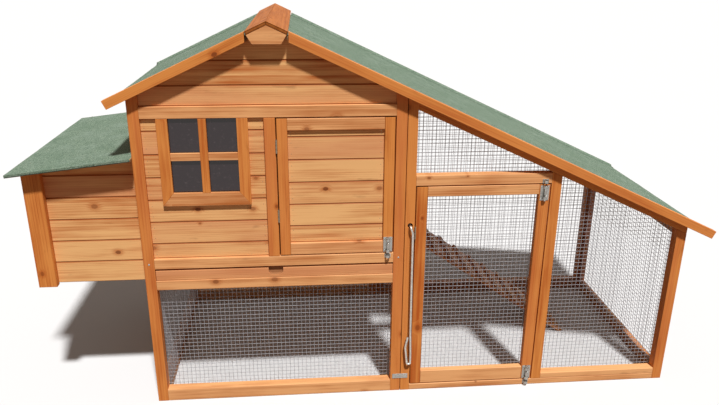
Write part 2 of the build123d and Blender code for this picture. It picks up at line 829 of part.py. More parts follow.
# Nets, stapled to the inner faces of the frames
front_net_plane = Plane((0, inside_front + net_thick, 0), x_dir=(1, 0, 0), z_dir=(0, -1, 0))
back_net_plane = Plane((0, inside_back, 0), x_dir=(1, 0, 0), z_dir=(0, -1, 0))
left_net_plane = Plane((inside_l, 0, 0), x_dir=(0, 1, 0), z_dir=(1, 0, 0))
end_net_plane = Plane((end_l - net_thick, 0, 0), x_dir=(0, 1, 0), z_dir=(1, 0, 0))
door_net_plane = Plane((0, door_back + net_thick, 0), x_dir=(1, 0, 0), z_dir=(0, -1, 0))
leg_low = base_rail - net_lap
leg_high = lower_bottom + net_lap
house_net_l = inside_l + net_side_gap
house_net_r = inside_r - net_side_gap
house_net = rectangle(house_net_l, house_net_r, leg_low, leg_high)
house_net_opening = rectangle(house_net_l + net_bar, house_net_r - net_bar, base_rail, lower_bottom)
side_net_front = inside_front + net_thick + net_side_gap
side_net_back = inside_back - net_thick - net_side_gap
side_net = rectangle(side_net_front, side_net_back, leg_low, leg_high)
side_net_opening = rectangle(side_net_front + net_bar, side_net_back - net_bar, base_rail, lower_bottom)
lap_under = rail_under - net_lap
end_net_front = end_front - net_lap
end_net_back = end_back + net_lap
end_net = rectangle(end_net_front, end_net_back, leg_low, end_rail_low + net_lap)
door_opening_l = run_inside + door_gap + run_door_stile
door_opening_r = run_jamb - door_gap - run_door_stile
door_opening_low = threshold + door_gap + run_door_bottom_rail
door_opening_high = run_door_top - door_gap - run_door_top_rail
door_net = rectangle(door_opening_l - net_lap, door_opening_r + net_lap,
                     door_opening_low - net_lap, door_opening_high + net_lap)

with BuildPart() as net_house_front:
    add(net(front_net_plane, house_net, house_net_opening))
save(net_house_front, "net_house_front")

with BuildPart() as net_house_back:
    add(net(back_net_plane, house_net, house_net_opening))
save(net_house_back, "net_house_back")

with BuildPart() as net_house_left:
    add(net(left_net_plane, side_net, side_net_opening))
save(net_house_left, "net_house_left")

with BuildPart() as net_run_gable:
    add(net(front_net_plane,
            under_slope(run_inside - net_lap, run_jamb + net_lap, run_top - net_lap, lap_under),
            under_slope(run_inside, run_jamb, run_top, rail_under)))
save(net_run_gable, "net_run_gable")

with BuildPart() as net_run_front:
    add(net(front_net_plane,
            under_slope(door_post_r - net_lap, end_l, leg_low, lap_under),
            under_slope(door_post_r, corner_l, base_rail, rail_under)))
save(net_run_front, "net_run_front")

with BuildPart() as net_run_back:
    add(net(back_net_plane,
            under_slope(run_inside - net_lap, end_l, leg_low, lap_under),
            under_slope(run_inside, corner_l, base_rail, rail_under)))
save(net_run_back, "net_run_back")

with BuildPart() as net_run_end:
    add(net(end_net_plane, end_net, rectangle(end_front, end_back, base_rail, end_rail_low)))
save(net_run_end, "net_run_end")

# Run door
run_leaf_l = run_inside + door_gap
run_leaf_r = run_jamb - door_gap
run_leaf_low = threshold + door_gap
run_leaf_high = run_door_top - door_gap
run_frame = [timber(x, x + run_door_stile, front, door_back, run_leaf_low, run_leaf_high)
             for x in (run_leaf_l, door_opening_r)]
run_frame += [timber(door_opening_l + joint_gap, door_opening_r - joint_gap, front, door_back, z0, z1)
              for z0, z1 in ((run_leaf_low, door_opening_low), (door_opening_high, run_leaf_high))]
with BuildPart() as run_door_frame:
    add(run_frame)
save(run_door_frame, "run_door_frame")

with BuildPart() as net_run_door:
    add(net(door_net_plane, door_net,
            rectangle(door_opening_l, door_opening_r, door_opening_low, door_opening_high)))
save(net_run_door, "net_run_door")

run_gap_x = run_inside + door_gap / 2
run_feet = [door_hinge(run_gap_x, threshold + level) for level in (run_hinge_low, run_hinge_high)]
with BuildPart() as run_door_hinge_leaves:
    add([hinge_leaf(foot, 90, -leaf_near, -leaf_far, pinned=False) for foot in run_feet])
save(run_door_hinge_leaves, "run_door_hinge_leaves")

run_bolt_x = run_leaf_r - run_door_stile / 2
run_low_edge = Plane((run_bolt_x, front, run_leaf_low), x_dir=(1, 0, 0), z_dir=(0, -1, 0))
run_top_edge = Plane((run_bolt_x, front, run_leaf_high), x_dir=(-1, 0, 0), z_dir=(0, -1, 0))
with BuildPart() as run_door_bolt_cases:
    add([bolt_case(edge) for edge in (run_low_edge, run_top_edge)])
save(run_door_bolt_cases, "run_door_bolt_cases")

with BuildPart() as run_door_top_bolt:
    add(bolt_rod(run_top_edge))
save(run_door_top_bolt, "run_door_top_bolt")

with BuildPart() as run_door_bottom_bolt:
    add(bolt_rod(run_low_edge))
save(run_door_bottom_bolt, "run_door_bottom_bolt")

with BuildPart() as bolt_keepers:
    add([bolt_keeper(edge) for edge in (door_bolt_edge, run_low_edge, run_top_edge)])
save(bolt_keepers, "bolt_keepers")

# Nest box
nest_l = house_l - nest_reach
nest_front = front + nest_inset
nest_back = back - nest_inset
nest_boards_front = nest_front + nest_post_thick
nest_boards_back = nest_back - nest_post_thick
nest_side_l = nest_l + nest_side_recess
nest_in_l = nest_side_l + board_thick


def lid_piece(x0, x1, z0, y0, y1, below):
    """A piece of the nest box from z0 up to a surface of the lid."""
    return slab([(x0, z0), (x1, z0), (x1, lid_z(x1, below)), (x0, lid_z(x0, below))], y0, y1)


with BuildPart() as nest_posts:
    add([lid_piece(nest_l, nest_l + nest_post, nest_bottom - nest_foot, y, y + nest_post_thick, lid_under)
         for y in (nest_front, nest_boards_back)])
save(nest_posts, "nest_posts")

nest_front_wall = (Plane((0, nest_boards_front, 0), x_dir=(1, 0, 0), z_dir=(0, -1, 0)), -1)
nest_back_wall = (Plane((0, nest_boards_back, 0), x_dir=(1, 0, 0), z_dir=(0, -1, 0)), 1)
nest_side_wall = (Plane((nest_side_l, 0, 0), x_dir=(0, 1, 0), z_dir=(1, 0, 0)), 1)
nest_spans = [(nest_bottom + n * board_cover, nest_bottom + (n + 1) * board_cover)
              for n in range(int((lid_z(nest_in_l, lid_under) - nest_bottom) / board_cover))]
nest_rest = nest_spans[-1][1] + board_gap / 2
nest_l_end = nest_in_l + joint_gap
nest_r_end = house_l
nest_top_board = [(nest_l_end, nest_rest), (nest_r_end, nest_rest),
                  (nest_r_end, lid_z(nest_r_end, lid_under)), (nest_l_end, lid_z(nest_l_end, lid_under))]
with BuildPart() as nest_boards:
    for wall in (nest_front_wall, nest_back_wall):
        add(wall_boards(wall, nest_l_end, nest_r_end, nest_spans))
        add(board(wall, nest_top_board))
    add(wall_boards(nest_side_wall, nest_boards_front, nest_boards_back, nest_spans))
    add(straight_board(nest_side_wall, nest_boards_front, nest_boards_back,
                       nest_spans[-1][1], lid_z(nest_side_l, lid_under)))
save(nest_boards, "nest_boards")

nest_floor_low = nest_bottom + nest_floor_rise
nest_floor_top = nest_floor_low + nest_floor_thick
nest_in_front = nest_boards_front + board_thick + joint_gap
nest_in_back = nest_boards_back - board_thick - joint_gap
with BuildPart() as nest_floor:
    add(block(nest_l_end, house_l, nest_in_front, nest_in_back, nest_floor_low, nest_floor_top))
save(nest_floor, "nest_floor")

with BuildPart() as nest_divider:
    add(lid_piece(nest_l_end, house_l - joint_gap, nest_floor_top, -nest_divider_thick / 2,
                  nest_divider_thick / 2, lid_under + nest_divider_play))
save(nest_divider, "nest_divider")


def lid_layer(top, bottom, inset):
    """A layer of the lid, between two depths below its top, its three free edges set in by this much."""
    inner = house_l - lid_wall_gap
    q = radians(lid_slope)
    tip = (house_l - lid_reach + inset * cos(q), lid_z(house_l - lid_reach, 0) + inset * sin(q))
    outer = [(tip[0] + d * sin(q), tip[1] - d * cos(q)) for d in (bottom, top)]
    return slab(outer + [(inner, lid_z(inner, top)), (inner, lid_z(inner, bottom))],
                front - lid_side + inset, back + lid_side - inset)


lid_panel = lid_layer(lid_felt, lid_felt + lid_thick, lid_felt)
with BuildPart() as nest_lid_panel:
    add(lid_panel)
save(nest_lid_panel, "nest_lid_panel")

with BuildPart() as nest_lid_felt:
    add(lid_layer(0, lid_felt + lid_skirt, 0))
    add(lid_panel, mode=Mode.SUBTRACT)
save(nest_lid_felt, "nest_lid_felt")

lid_axis_x = house_l - knuckle_radius - running
lid_axis_z = lid_z(lid_axis_x, 0) + (knuckle_radius + running) / cos(radians(lid_slope))
lid_seat_far = knuckle_radius + running
lid_seat_near = lid_seat_far - leaf_thick
lid_feet = [Plane((lid_axis_x, y, lid_axis_z), x_dir=(1, 0, 0), z_dir=(0, -1, 0))
            for y in (front + lid_hinge_inset + hinge_length, back - lid_hinge_inset)]
with BuildPart() as nest_lid_hinge_leaves:
    add([hinge_leaf(foot, 180 + lid_slope, lid_seat_near, lid_seat_far, pinned=False) for foot in lid_feet])
save(nest_lid_hinge_leaves, "nest_lid_hinge_leaves")

with BuildPart() as fixed_hinge_leaves:
    add([hinge_leaf(foot, 90, leaf_near, leaf_far, pinned=True) for foot in door_feet + run_feet])
    add([hinge_leaf(foot, 90, -lid_seat_far, -lid_seat_near, pinned=True) for foot in lid_feet])
save(fixed_hinge_leaves, "fixed_hinge_leaves")

# Pop door with its runners and draw rod
pop_front_edge = pop_hole_front - pop_lap
pop_back_edge = pop_hole_back + pop_lap
pop_low = tray_top - pop_edge
pop_high = hole_top + pop_edge
pop_l = house_r + pop_play
pop_r = pop_l + pop_thick
cover_l = pop_r + pop_play
cover_r = cover_l + runner_cover_thick
runner_front = pop_front_edge - pop_travel - runner_end
runner_back = pop_back_edge + runner_end
runner_low = pop_low - pop_play - runner_spacer
runner_high = pop_high + pop_play + runner_spacer
runner_pieces = [
    (house_r, cover_l - joint_gap, runner_low, pop_low - joint_gap),
    (cover_l, cover_r, runner_low, pop_low + runner_cover_lap),
    (house_r, cover_l - joint_gap, pop_high + pop_play, runner_high),
    (cover_l, cover_r, pop_high - runner_cover_lap, runner_high),
]
with BuildPart() as pop_door_runners:
    add([block(x0, x1, runner_front, runner_back, z0, z1) for x0, x1, z0, z1 in runner_pieces])
save(pop_door_runners, "pop_door_runners")

rod_block_l = pop_r + joint_gap
rod_block_edge = pop_front_edge + rod_block_length
with BuildPart() as pop_door:
    add(block(pop_l, pop_r, pop_front_edge, pop_back_edge, pop_low, pop_high))
    add(block(rod_block_l, rod_block_l + rod_block_thick, pop_front_edge, rod_block_edge,
              rod_level - rod_block_height / 2, rod_level + rod_block_height / 2))
    with BuildSketch(Plane((rod_x, pop_front_edge, rod_level), x_dir=(1, 0, 0), z_dir=(0, -1, 0))):
        Circle(rod_radius + running)
    extrude(amount=-rod_block_length, mode=Mode.SUBTRACT)
save(pop_door, "pop_door")

rod_y = front - rod_hang
handle_z = rod_level - rod_drop
rod_hang_x = rod_x + rod_sway
neck_x = rod_hang_x + rod_lean
right_x = neck_x + handle_bulge
rod_route = [
    (rod_x, rod_block_edge, rod_level),
    (rod_x, rod_y, rod_level),
    (rod_hang_x, rod_y, rod_level - rod_elbow),
    (neck_x, rod_y, handle_z + handle_neck),
    (right_x, rod_y, handle_z + handle_right),
    (right_x, rod_y, handle_z),
    (right_x - handle_foot, rod_y, handle_z),
    (right_x - handle_width, rod_y, handle_z + handle_left),
    (neck_x - 2 * rod_radius - rod_tip_gap, rod_y, handle_z + handle_tip),
]
rod_bends = [rod_bend, rod_elbow_bend, handle_side_bend, handle_side_bend,
             handle_foot_bend, handle_foot_bend, handle_side_bend]
with BuildPart() as draw_rod:
    with BuildLine():
        FilletPolyline(*rod_route, radius=rod_bends)
    with BuildSketch(Plane(rod_route[0], x_dir=(1, 0, 0), z_dir=(0, -1, 0))):
        RegularPolygon(rod_radius, rod_sides)
    sweep()
save(draw_rod, "draw_rod")

# Ramp from the pop hole down to the ground
ramp_top = tray_top
ramp_l = cover_r + joint_gap
ramp_fall = ramp_top / ramp_run
ramp_drop = ramp_thick * (1 + ramp_fall ** 2) ** 0.5
ramp_y0 = (pop_hole_front + pop_hole_back - ramp_width) / 2
ramp_y1 = ramp_y0 + ramp_width
ramp_length = (ramp_run ** 2 + ramp_top ** 2) ** 0.5
ramp_along = (ramp_run / ramp_length, -ramp_top / ramp_length)
ramp_out = (-ramp_along[1], ramp_along[0])


def on_ramp(along, out):
    """Point (X, Z) of the ramp, along it from its top and out from its upper face."""
    x = ramp_l + along * ramp_along[0] + out * ramp_out[0]
    return x, ramp_top + along * ramp_along[1] + out * ramp_out[1]


cleat_places = [ramp_step * (n + 0.5) for n in range(int(ramp_length / ramp_step))]


def ramp_cleat(place):
    """A cross cleat nailed on the ramp's upper face."""
    low = place - ramp_cleat_width / 2
    high = place + ramp_cleat_width / 2
    corners = [(low, joint_gap), (high, joint_gap), (high, ramp_cleat_height), (low, ramp_cleat_height)]
    return slab([on_ramp(along, out) for along, out in corners], ramp_y0, ramp_y1)


ramp_board = [(ramp_l, ramp_top), (ramp_l, ramp_top - ramp_drop),
              (ramp_l + ramp_run - ramp_drop / ramp_fall, 0), (ramp_l + ramp_run, 0)]
with BuildPart() as ramp:
    add(slab(ramp_board, ramp_y0, ramp_y1))
    add([ramp_cleat(place) for place in cleat_places])
save(ramp, "ramp")

# Roof


def slope_layer(side, top, bottom, y0, y1):
    """A layer of one slope from the ridge to the eave, between two heights out from the felt's top."""
    end = eave(side)
    ridge_points = [on_slope(side, -out * tan(slope) + joint_gap, out) for out in (top, bottom)]
    eave_points = [on_slope(side, end, out) for out in (bottom, top)]
    return slab(ridge_points + eave_points, y0, y1)


with BuildPart() as roof_panel_left:
    add(slope_layer(-1, -felt_thick, -felt_thick - panel_thick, roof_front, roof_back))
save(roof_panel_left, "roof_panel_left")

with BuildPart() as roof_panel_right:
    add(slope_layer(1, -felt_thick, -felt_thick - panel_thick, roof_front, roof_back))
save(roof_panel_right, "roof_panel_right")

with BuildPart() as roof_felt:
    add([slope_layer(side, 0, -felt_thick, roof_front, roof_back) for side in (-1, 1)])
save(roof_felt, "roof_felt")

cap_half = cap_width * cos(slope) + cap_thick * sin(slope) + joint_gap


def bargeboard(side, y0, y1, rise):
    """Bargeboard of one slope, from its square-cut eave to the plumb cut beside the ridge cap."""
    outs = (rise, rise - barge_height)
    ridge_points = [on_slope(side, (cap_half - out * sin(slope)) / cos(slope), out) for out in outs]
    eave_points = [on_slope(side, eave(side), out) for out in reversed(outs)]
    return slab(ridge_points + eave_points, y0, y1)


with BuildPart() as front_bargeboards:
    add([bargeboard(side, barge_front, roof_front, barge_rise) for side in (-1, 1)])
save(front_bargeboards, "front_bargeboards")

with BuildPart() as back_bargeboards:
    add([bargeboard(side, roof_back, barge_back, back_barge_rise) for side in (-1, 1)])
save(back_bargeboards, "back_bargeboards")


def cap_board(side):
    """One board of the ridge cap, mitred to the other at the ridge."""
    top, bottom = cap_thick, 0
    ridge_points = [on_slope(side, -out * tan(slope) + joint_gap, out) for out in (top, bottom)]
    edge_points = [on_slope(side, cap_width, out) for out in (bottom, top)]
    return slab(ridge_points + edge_points, barge_front, barge_back)


with BuildPart() as ridge_cap:
    add([cap_board(side) for side in (-1, 1)])
save(ridge_cap, "ridge_cap")

ornament_z = ridge_height - ornament_drop
keystone = [
    (ridge_x - ornament_foot / 2, ornament_z),
    (ridge_x + ornament_foot / 2, ornament_z),
    on_slope(1, cap_width, -joint_gap),
    (ridge_x, roof_z(ridge_x, joint_gap)),
    on_slope(-1, cap_width, -joint_gap),
]
with BuildPart() as ridge_ornaments:
    add(slab(keystone, barge_front, roof_front))
    add(slab(keystone, roof_back, barge_back))
save(ridge_ornaments, "ridge_ornaments")

# Plates that tie the run's frame to the house's
with BuildPart() as tie_plates:
    add([block(house_r - tie_width / 2, house_r + tie_width / 2, y, y + tie_thick,
               tie_level - tie_height / 2, tie_level + tie_height / 2) for y in (front - tie_thick, back)])
save(tie_plates, "tie_plates")
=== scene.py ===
import json
import bmesh
import bpy
import numpy as np
from mathutils import Matrix, Vector

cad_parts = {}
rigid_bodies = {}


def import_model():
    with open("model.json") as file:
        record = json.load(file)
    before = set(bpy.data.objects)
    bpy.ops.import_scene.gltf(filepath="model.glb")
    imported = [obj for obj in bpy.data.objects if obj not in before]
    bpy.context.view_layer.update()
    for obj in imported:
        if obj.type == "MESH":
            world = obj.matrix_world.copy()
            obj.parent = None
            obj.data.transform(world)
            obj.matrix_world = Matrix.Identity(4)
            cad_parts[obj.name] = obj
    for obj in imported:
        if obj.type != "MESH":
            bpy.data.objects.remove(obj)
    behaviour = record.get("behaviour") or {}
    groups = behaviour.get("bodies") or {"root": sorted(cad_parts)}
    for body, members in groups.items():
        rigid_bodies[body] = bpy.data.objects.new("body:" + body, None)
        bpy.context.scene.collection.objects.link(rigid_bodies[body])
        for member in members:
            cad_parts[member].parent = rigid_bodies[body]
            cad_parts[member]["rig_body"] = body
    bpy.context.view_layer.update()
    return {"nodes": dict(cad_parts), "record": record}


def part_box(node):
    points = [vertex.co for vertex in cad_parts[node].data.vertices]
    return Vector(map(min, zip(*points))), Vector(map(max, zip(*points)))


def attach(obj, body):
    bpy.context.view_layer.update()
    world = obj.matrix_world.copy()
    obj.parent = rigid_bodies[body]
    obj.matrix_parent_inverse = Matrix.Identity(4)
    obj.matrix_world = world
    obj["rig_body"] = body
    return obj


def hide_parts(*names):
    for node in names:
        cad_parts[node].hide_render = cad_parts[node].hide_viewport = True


# Wooden chicken coop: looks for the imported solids. Sizes in metres, in the solids' own frame:
# +X along the front from the nest box to the run's end, +Y from front to back, +Z up.
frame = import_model()

# Camera of the photograph, solved from the coop's frame
IMAGE_WIDTH = 719
FOCAL_PIXELS = 672.17
SENSOR_WIDTH = 36.0
CAMERA_PLACE = (-0.21476, -2.13141, 1.28449)
CAMERA_YAW = np.radians(5.0108)
CAMERA_PITCH = np.radians(19.8588)
CAMERA_ROLL = np.radians(-0.37397)
CAMERA_REACH = 200.0

# Slopes of the coop
ROOF_PITCH = np.radians(25.0)
LID_SLOPE = np.radians(6.7)
RAMP_RUN = 0.640
RAMP_RISE = 0.441

# Light
KEY_HEIGHT = np.radians(60.0)
KEY_TURN = np.radians(14.0)
KEY_SPREAD = np.radians(4.0)
KEY_STRENGTH = 4.05
SKY_LIGHT = 0.18
SKY_COLOUR = (1.0, 0.86, 0.76, 1.0)
WHITE = (1.0, 1.0, 1.0, 1.0)
FLOOR_SEEN = (0.795, 0.795, 0.795, 1.0)
FLOOR_GIVEN = (0.18, 0.12, 0.09, 1.0)
FLOOR_HALF = 30.0
FLOOR_DROP = 0.0004

# Seeds of the random draws: nodes of a kind count on from its seed, and a slope adds its side, -1 or 1
BOARD_SEED = 41
FRAME_SEED = 61
CAP_SEED = 86
PLAIN_SEED = 91
LID_SEED = 101
RAMP_SEED = 102
NET_SEED = 111
ROOF_FELT_SEED = 131
LAP_SEED = 134
LID_FELT_SEED = 136
# Seeds that give the sticks of these nodes the tones that the photograph shows
OWN_SEEDS = {"house_front_rails": 1227, "house_door_boards": 798, "window_frame": 1074}


def tone(red, green, blue):
    """A colour given on the byte scale, 0 to 255, as linear light: the sRGB curve, undone."""
    share = np.array([red, green, blue]) / 255
    low = share / 12.92
    high = ((share + 0.055) / 1.055) ** 2.4
    return (*np.where(share <= 0.04045, low, high).tolist(), 1.0)


# Shader helpers

# Colour sockets of a mix node, which has others for numbers and vectors
MIX_FIRST = 6
MIX_SECOND = 7
MIX_RESULT = 2


def plug(tree, socket, value):
    """Link a socket to an output, or set its own value."""
    if isinstance(value, bpy.types.NodeSocket):
        tree.links.new(value, socket)
    else:
        socket.default_value = value


def calc(tree, operation, *values, clamp=False):
    """One number worked out from others."""
    made = tree.nodes.new("ShaderNodeMath")
    made.operation = operation
    made.use_clamp = clamp
    for socket, value in zip(made.inputs, values):
        plug(tree, socket, value)
    return made.outputs[0]


def distance(tree, first, second):
    """Distance of a point from the origin, from its two coordinates."""
    squares = calc(tree, "MULTIPLY_ADD", first, first, calc(tree, "MULTIPLY", second, second))
    return calc(tree, "SQRT", squares)


def swing(tree, noise, size, middle=0.5):
    """Noise as a shift to both sides: a size times how far the noise is from its middle."""
    return calc(tree, "MULTIPLY_ADD", noise, size, -size * middle)


def aim(tree, operation, *values):
    """One vector worked out from others."""
    made = tree.nodes.new("ShaderNodeVectorMath")
    made.operation = operation
    for socket, value in zip(made.inputs, values):
        plug(tree, socket, value)
    return made.outputs["Vector"]


def parts_of(tree, vector):
    """The three parts of a vector."""
    made = tree.nodes.new("ShaderNodeSeparateXYZ")
    plug(tree, made.inputs[0], vector)
    return made.outputs[0], made.outputs[1], made.outputs[2]


def join(tree, x, y, z):
    """A vector from three numbers."""
    made = tree.nodes.new("ShaderNodeCombineXYZ")
    for socket, value in zip(made.inputs, (x, y, z)):
        plug(tree, socket, value)
    return made.outputs[0]


def tint(tree, share, first, second, mode="MIX"):
    """Two colours mixed by a share."""
    made = tree.nodes.new("ShaderNodeMix")
    made.data_type = "RGBA"
    made.blend_type = mode
    plug(tree, made.inputs[0], share)
    plug(tree, made.inputs[MIX_FIRST], first)
    plug(tree, made.inputs[MIX_SECOND], second)
    return made.outputs[MIX_RESULT]


def ease(tree, value, low, high, start=0.0, end=1.0):
    """A smooth step from start to end as the value goes from low to high."""
    made = tree.nodes.new("ShaderNodeMapRange")
    made.interpolation_type = "SMOOTHSTEP"
    for socket, given in zip(made.inputs, (value, low, high, start, end)):
        plug(tree, socket, given)
    return made.outputs[0]


def lay(tree, colour, over, value, span, share=1.0):
    """A second colour laid over a first, from none of it to a share, as a value goes through a span."""
    return tint(tree, ease(tree, value, *span, 0.0, share), colour, over)


def cloud(tree, vector, scale, detail=2.0, rough=0.5):
    """Soft noise from 0 to 1."""
    made = tree.nodes.new("ShaderNodeTexNoise")
    plug(tree, made.inputs["Vector"], vector)
    plug(tree, made.inputs["Scale"], scale)
    made.inputs["Detail"].default_value = detail
    made.inputs["Roughness"].default_value = rough
    return made.outputs[0]


def drawn_cloud(tree, vector, grain, detail=2.0, rough=0.5):
    """Soft noise drawn out by three scales, one for each part of the vector."""
    return cloud(tree, aim(tree, "MULTIPLY", vector, grain), 1.0, detail, rough)


def cells(tree, vector, scale, dimensions="3D"):
    """Random cells: distance to the nearest cell point, a random colour of the cell, and the point itself."""
    made = tree.nodes.new("ShaderNodeTexVoronoi")
    made.voronoi_dimensions = dimensions
    plug(tree, made.inputs["Vector"], vector)
    plug(tree, made.inputs["Scale"], scale)
    return made.outputs["Distance"], made.outputs["Color"], made.outputs["Position"]


def held(tree, name):
    """A vector that the piece's mesh holds at each corner."""
    made = tree.nodes.new("ShaderNodeAttribute")
    made.attribute_name = name
    return made.outputs["Vector"]


def place(tree):
    """The piece's own coordinates, in metres."""
    return tree.nodes.new("ShaderNodeTexCoord").outputs["Object"]


def new_group(name, inputs, outputs):
    """An empty node group with named inputs and outputs."""
    tree = bpy.data.node_groups.new(name, "ShaderNodeTree")
    for title, kind in inputs:
        tree.interface.new_socket(title, in_out="INPUT", socket_type="NodeSocket" + kind)
    for title, kind in outputs:
        tree.interface.new_socket(title, in_out="OUTPUT", socket_type="NodeSocket" + kind)
    start = tree.nodes.new("NodeGroupInput")
    end = tree.nodes.new("NodeGroupOutput")
    return tree, start.outputs, end.inputs


def use_group(tree, group, **values):
    """A group placed in a material with its own values."""
    made = tree.nodes.new("ShaderNodeGroup")
    made.node_tree = group
    for title, value in values.items():
        plug(tree, made.inputs[title.replace("_", " ")], value)
    return made.outputs


def empty_tree(owner):
    """The node tree of a material or a world, with nothing in it."""
    owner.use_nodes = True
    owner.node_tree.nodes.clear()
    return owner.node_tree


def new_material(name):
    """An empty material: its tree and its shader."""
    material = bpy.data.materials.new(name)
    tree = empty_tree(material)
    shader = tree.nodes.new("ShaderNodeBsdfPrincipled")
    output = tree.nodes.new("ShaderNodeOutputMaterial")
    tree.links.new(shader.outputs[0], output.inputs["Surface"])
    return material, tree, shader


def bump(tree, shader, height, depth):
    """Relief of the given depth in metres on a shader's surface."""
    made = tree.nodes.new("ShaderNodeBump")
    made.inputs["Distance"].default_value = depth
    plug(tree, made.inputs["Height"], height)
    tree.links.new(made.outputs[0], shader.inputs["Normal"])


def put_on(tree, shader, made, depth):
    """A group's colour, roughness and relief put on a shader."""
    plug(tree, shader.inputs["Base Color"], made["Color"])
    plug(tree, shader.inputs["Roughness"], made["Roughness"])
    bump(tree, shader, made["Height"], depth)


# Wood. A grain is how many waves of noise a metre holds along, across and through a stick.
# A span is where a smooth step begins and ends.

# How far chance moves each stick's grain, and the least distance of its pith
SHIFT_ALONG = 9.0
SHIFT_ACROSS = 0.15
SHIFT_THROUGH = 0.09
PITH_LEAST = 0.025

# Knots: cells per metre, the least radius and what chance adds to it, spans in radii, the push on the rings
# round a knot, and the shares of dark stain
KNOT_ALONG = 6.5
KNOT_ACROSS = 12.0
KNOT_STRETCH = 1.4
KNOT_LEAST = 0.0018
KNOT_MORE = 0.0054
KNOT_RAGGED = 0.5
KNOT_RAGGED_SCALE = 420.0
KNOT_CORE = (0.75, 1.15)
KNOT_HALO = (0.9, 3.6)
KNOT_HALO_FALL = 2.0
KNOT_PUSH = 0.003
CORE_LEAST = 0.4
CORE_MORE = 0.45
HALO_SHARE = 0.6

# Rings, fibres and streaks
RING_WIDTH = 0.0042
RING_WANDER = 0.014
RING_SHARP = 2.2
WANDER_GRAIN = (1.1, 7.0, 7.0)
FIBRE_GRAIN = (7.0, 620.0, 620.0)
FIBRE_SIZE = 0.8
FIBRE_MIDDLE = 0.475
STREAK_GRAIN = (4.0, 70.0, 70.0)
STREAK_SIZE = 2.0
STREAK_MIDDLE = 0.43

# Blotches over all sticks, rosy patches on some, and dark smears
BLOTCH_SCALE = 7.0
BLOTCH_SIZE = 0.9
ROSY_GRAIN = (2.5, 28.0, 1.0)
ROSY_STICKS = (0.45, 1.0)
ROSY_PATCH = (0.35, 0.65)
ROSY_SHARES = (0.25, 0.75)
SMEAR_GRAIN = (9.0, 40.0, 40.0)
SMEAR_SPAN = (0.62, 0.80)
SMEAR_SHARE = 0.42

# Edges, grooves, seams with painted gap shade, and ends: the spans are distances from a stick's sides
EDGE_RAGGED = 0.0030
EDGE_SPAN = (0.0012, 0.0042)
EDGE_SHARE = 0.30
GROOVE_SPAN = (0.0003, 0.0012)
GROOVE_SHADE = 0.62
JOINT_RELIEF = 0.50
# The dark band along board joints: partly the joints' own stain, partly painted shade of the gaps between
# boards
SEAM_AND_GAP_SHADE_SPAN = (0.0008, 0.0034)
SEAM_AND_GAP_SHADE_SHARE = 0.95
SEAM_AND_GAP_SHADE_TONE = tone(160, 74, 8)
END_SPAN = (0.0021, 0.0032)
PORE_GRAIN = (900.0, 900.0, 1.0)
PORE_SHADE = 0.3

# Gloss and relief
ROUGH_LEAST = 0.42
ROUGH_FIBRE = 0.22
ROUGH_END = 0.2
RELIEF_FIBRE = 0.6
RELIEF_RING = 0.4
RELIEF_KNOT = 0.5
WOOD_RELIEF = 0.00025


def knots(tree, at, knot_share):
    """Knots: cell points on a stick's face, each a ragged oval that goes through the stick. Gives how much
    of a knot's core and of the halo round it lies here, and how dark the core is."""
    spot = aim(tree, "MULTIPLY", at, (KNOT_ALONG, KNOT_ACROSS, 0.0))
    _, chance, centre = cells(tree, spot, 1.0, "2D")
    off_u, off_v, _ = parts_of(tree, aim(tree, "SUBTRACT", centre, spot))
    off_u = calc(tree, "DIVIDE", off_u, KNOT_ALONG * KNOT_STRETCH)
    off_v = calc(tree, "DIVIDE", off_v, KNOT_ACROSS)
    size, luck, dark = parts_of(tree, chance)
    there = calc(tree, "LESS_THAN", luck, knot_share)
    radius = calc(tree, "MULTIPLY_ADD", size, KNOT_MORE, KNOT_LEAST)
    near = calc(tree, "DIVIDE", distance(tree, off_u, off_v), radius)
    near = calc(tree, "ADD", near, swing(tree, cloud(tree, at, KNOT_RAGGED_SCALE), KNOT_RAGGED))
    core = calc(tree, "MULTIPLY", ease(tree, near, *KNOT_CORE, 1.0, 0.0), there)
    halo = calc(tree, "POWER", ease(tree, near, *KNOT_HALO, 1.0, 0.0), KNOT_HALO_FALL)
    return core, calc(tree, "MULTIPLY", halo, there), calc(tree, "MULTIPLY_ADD", dark, CORE_MORE, CORE_LEAST)


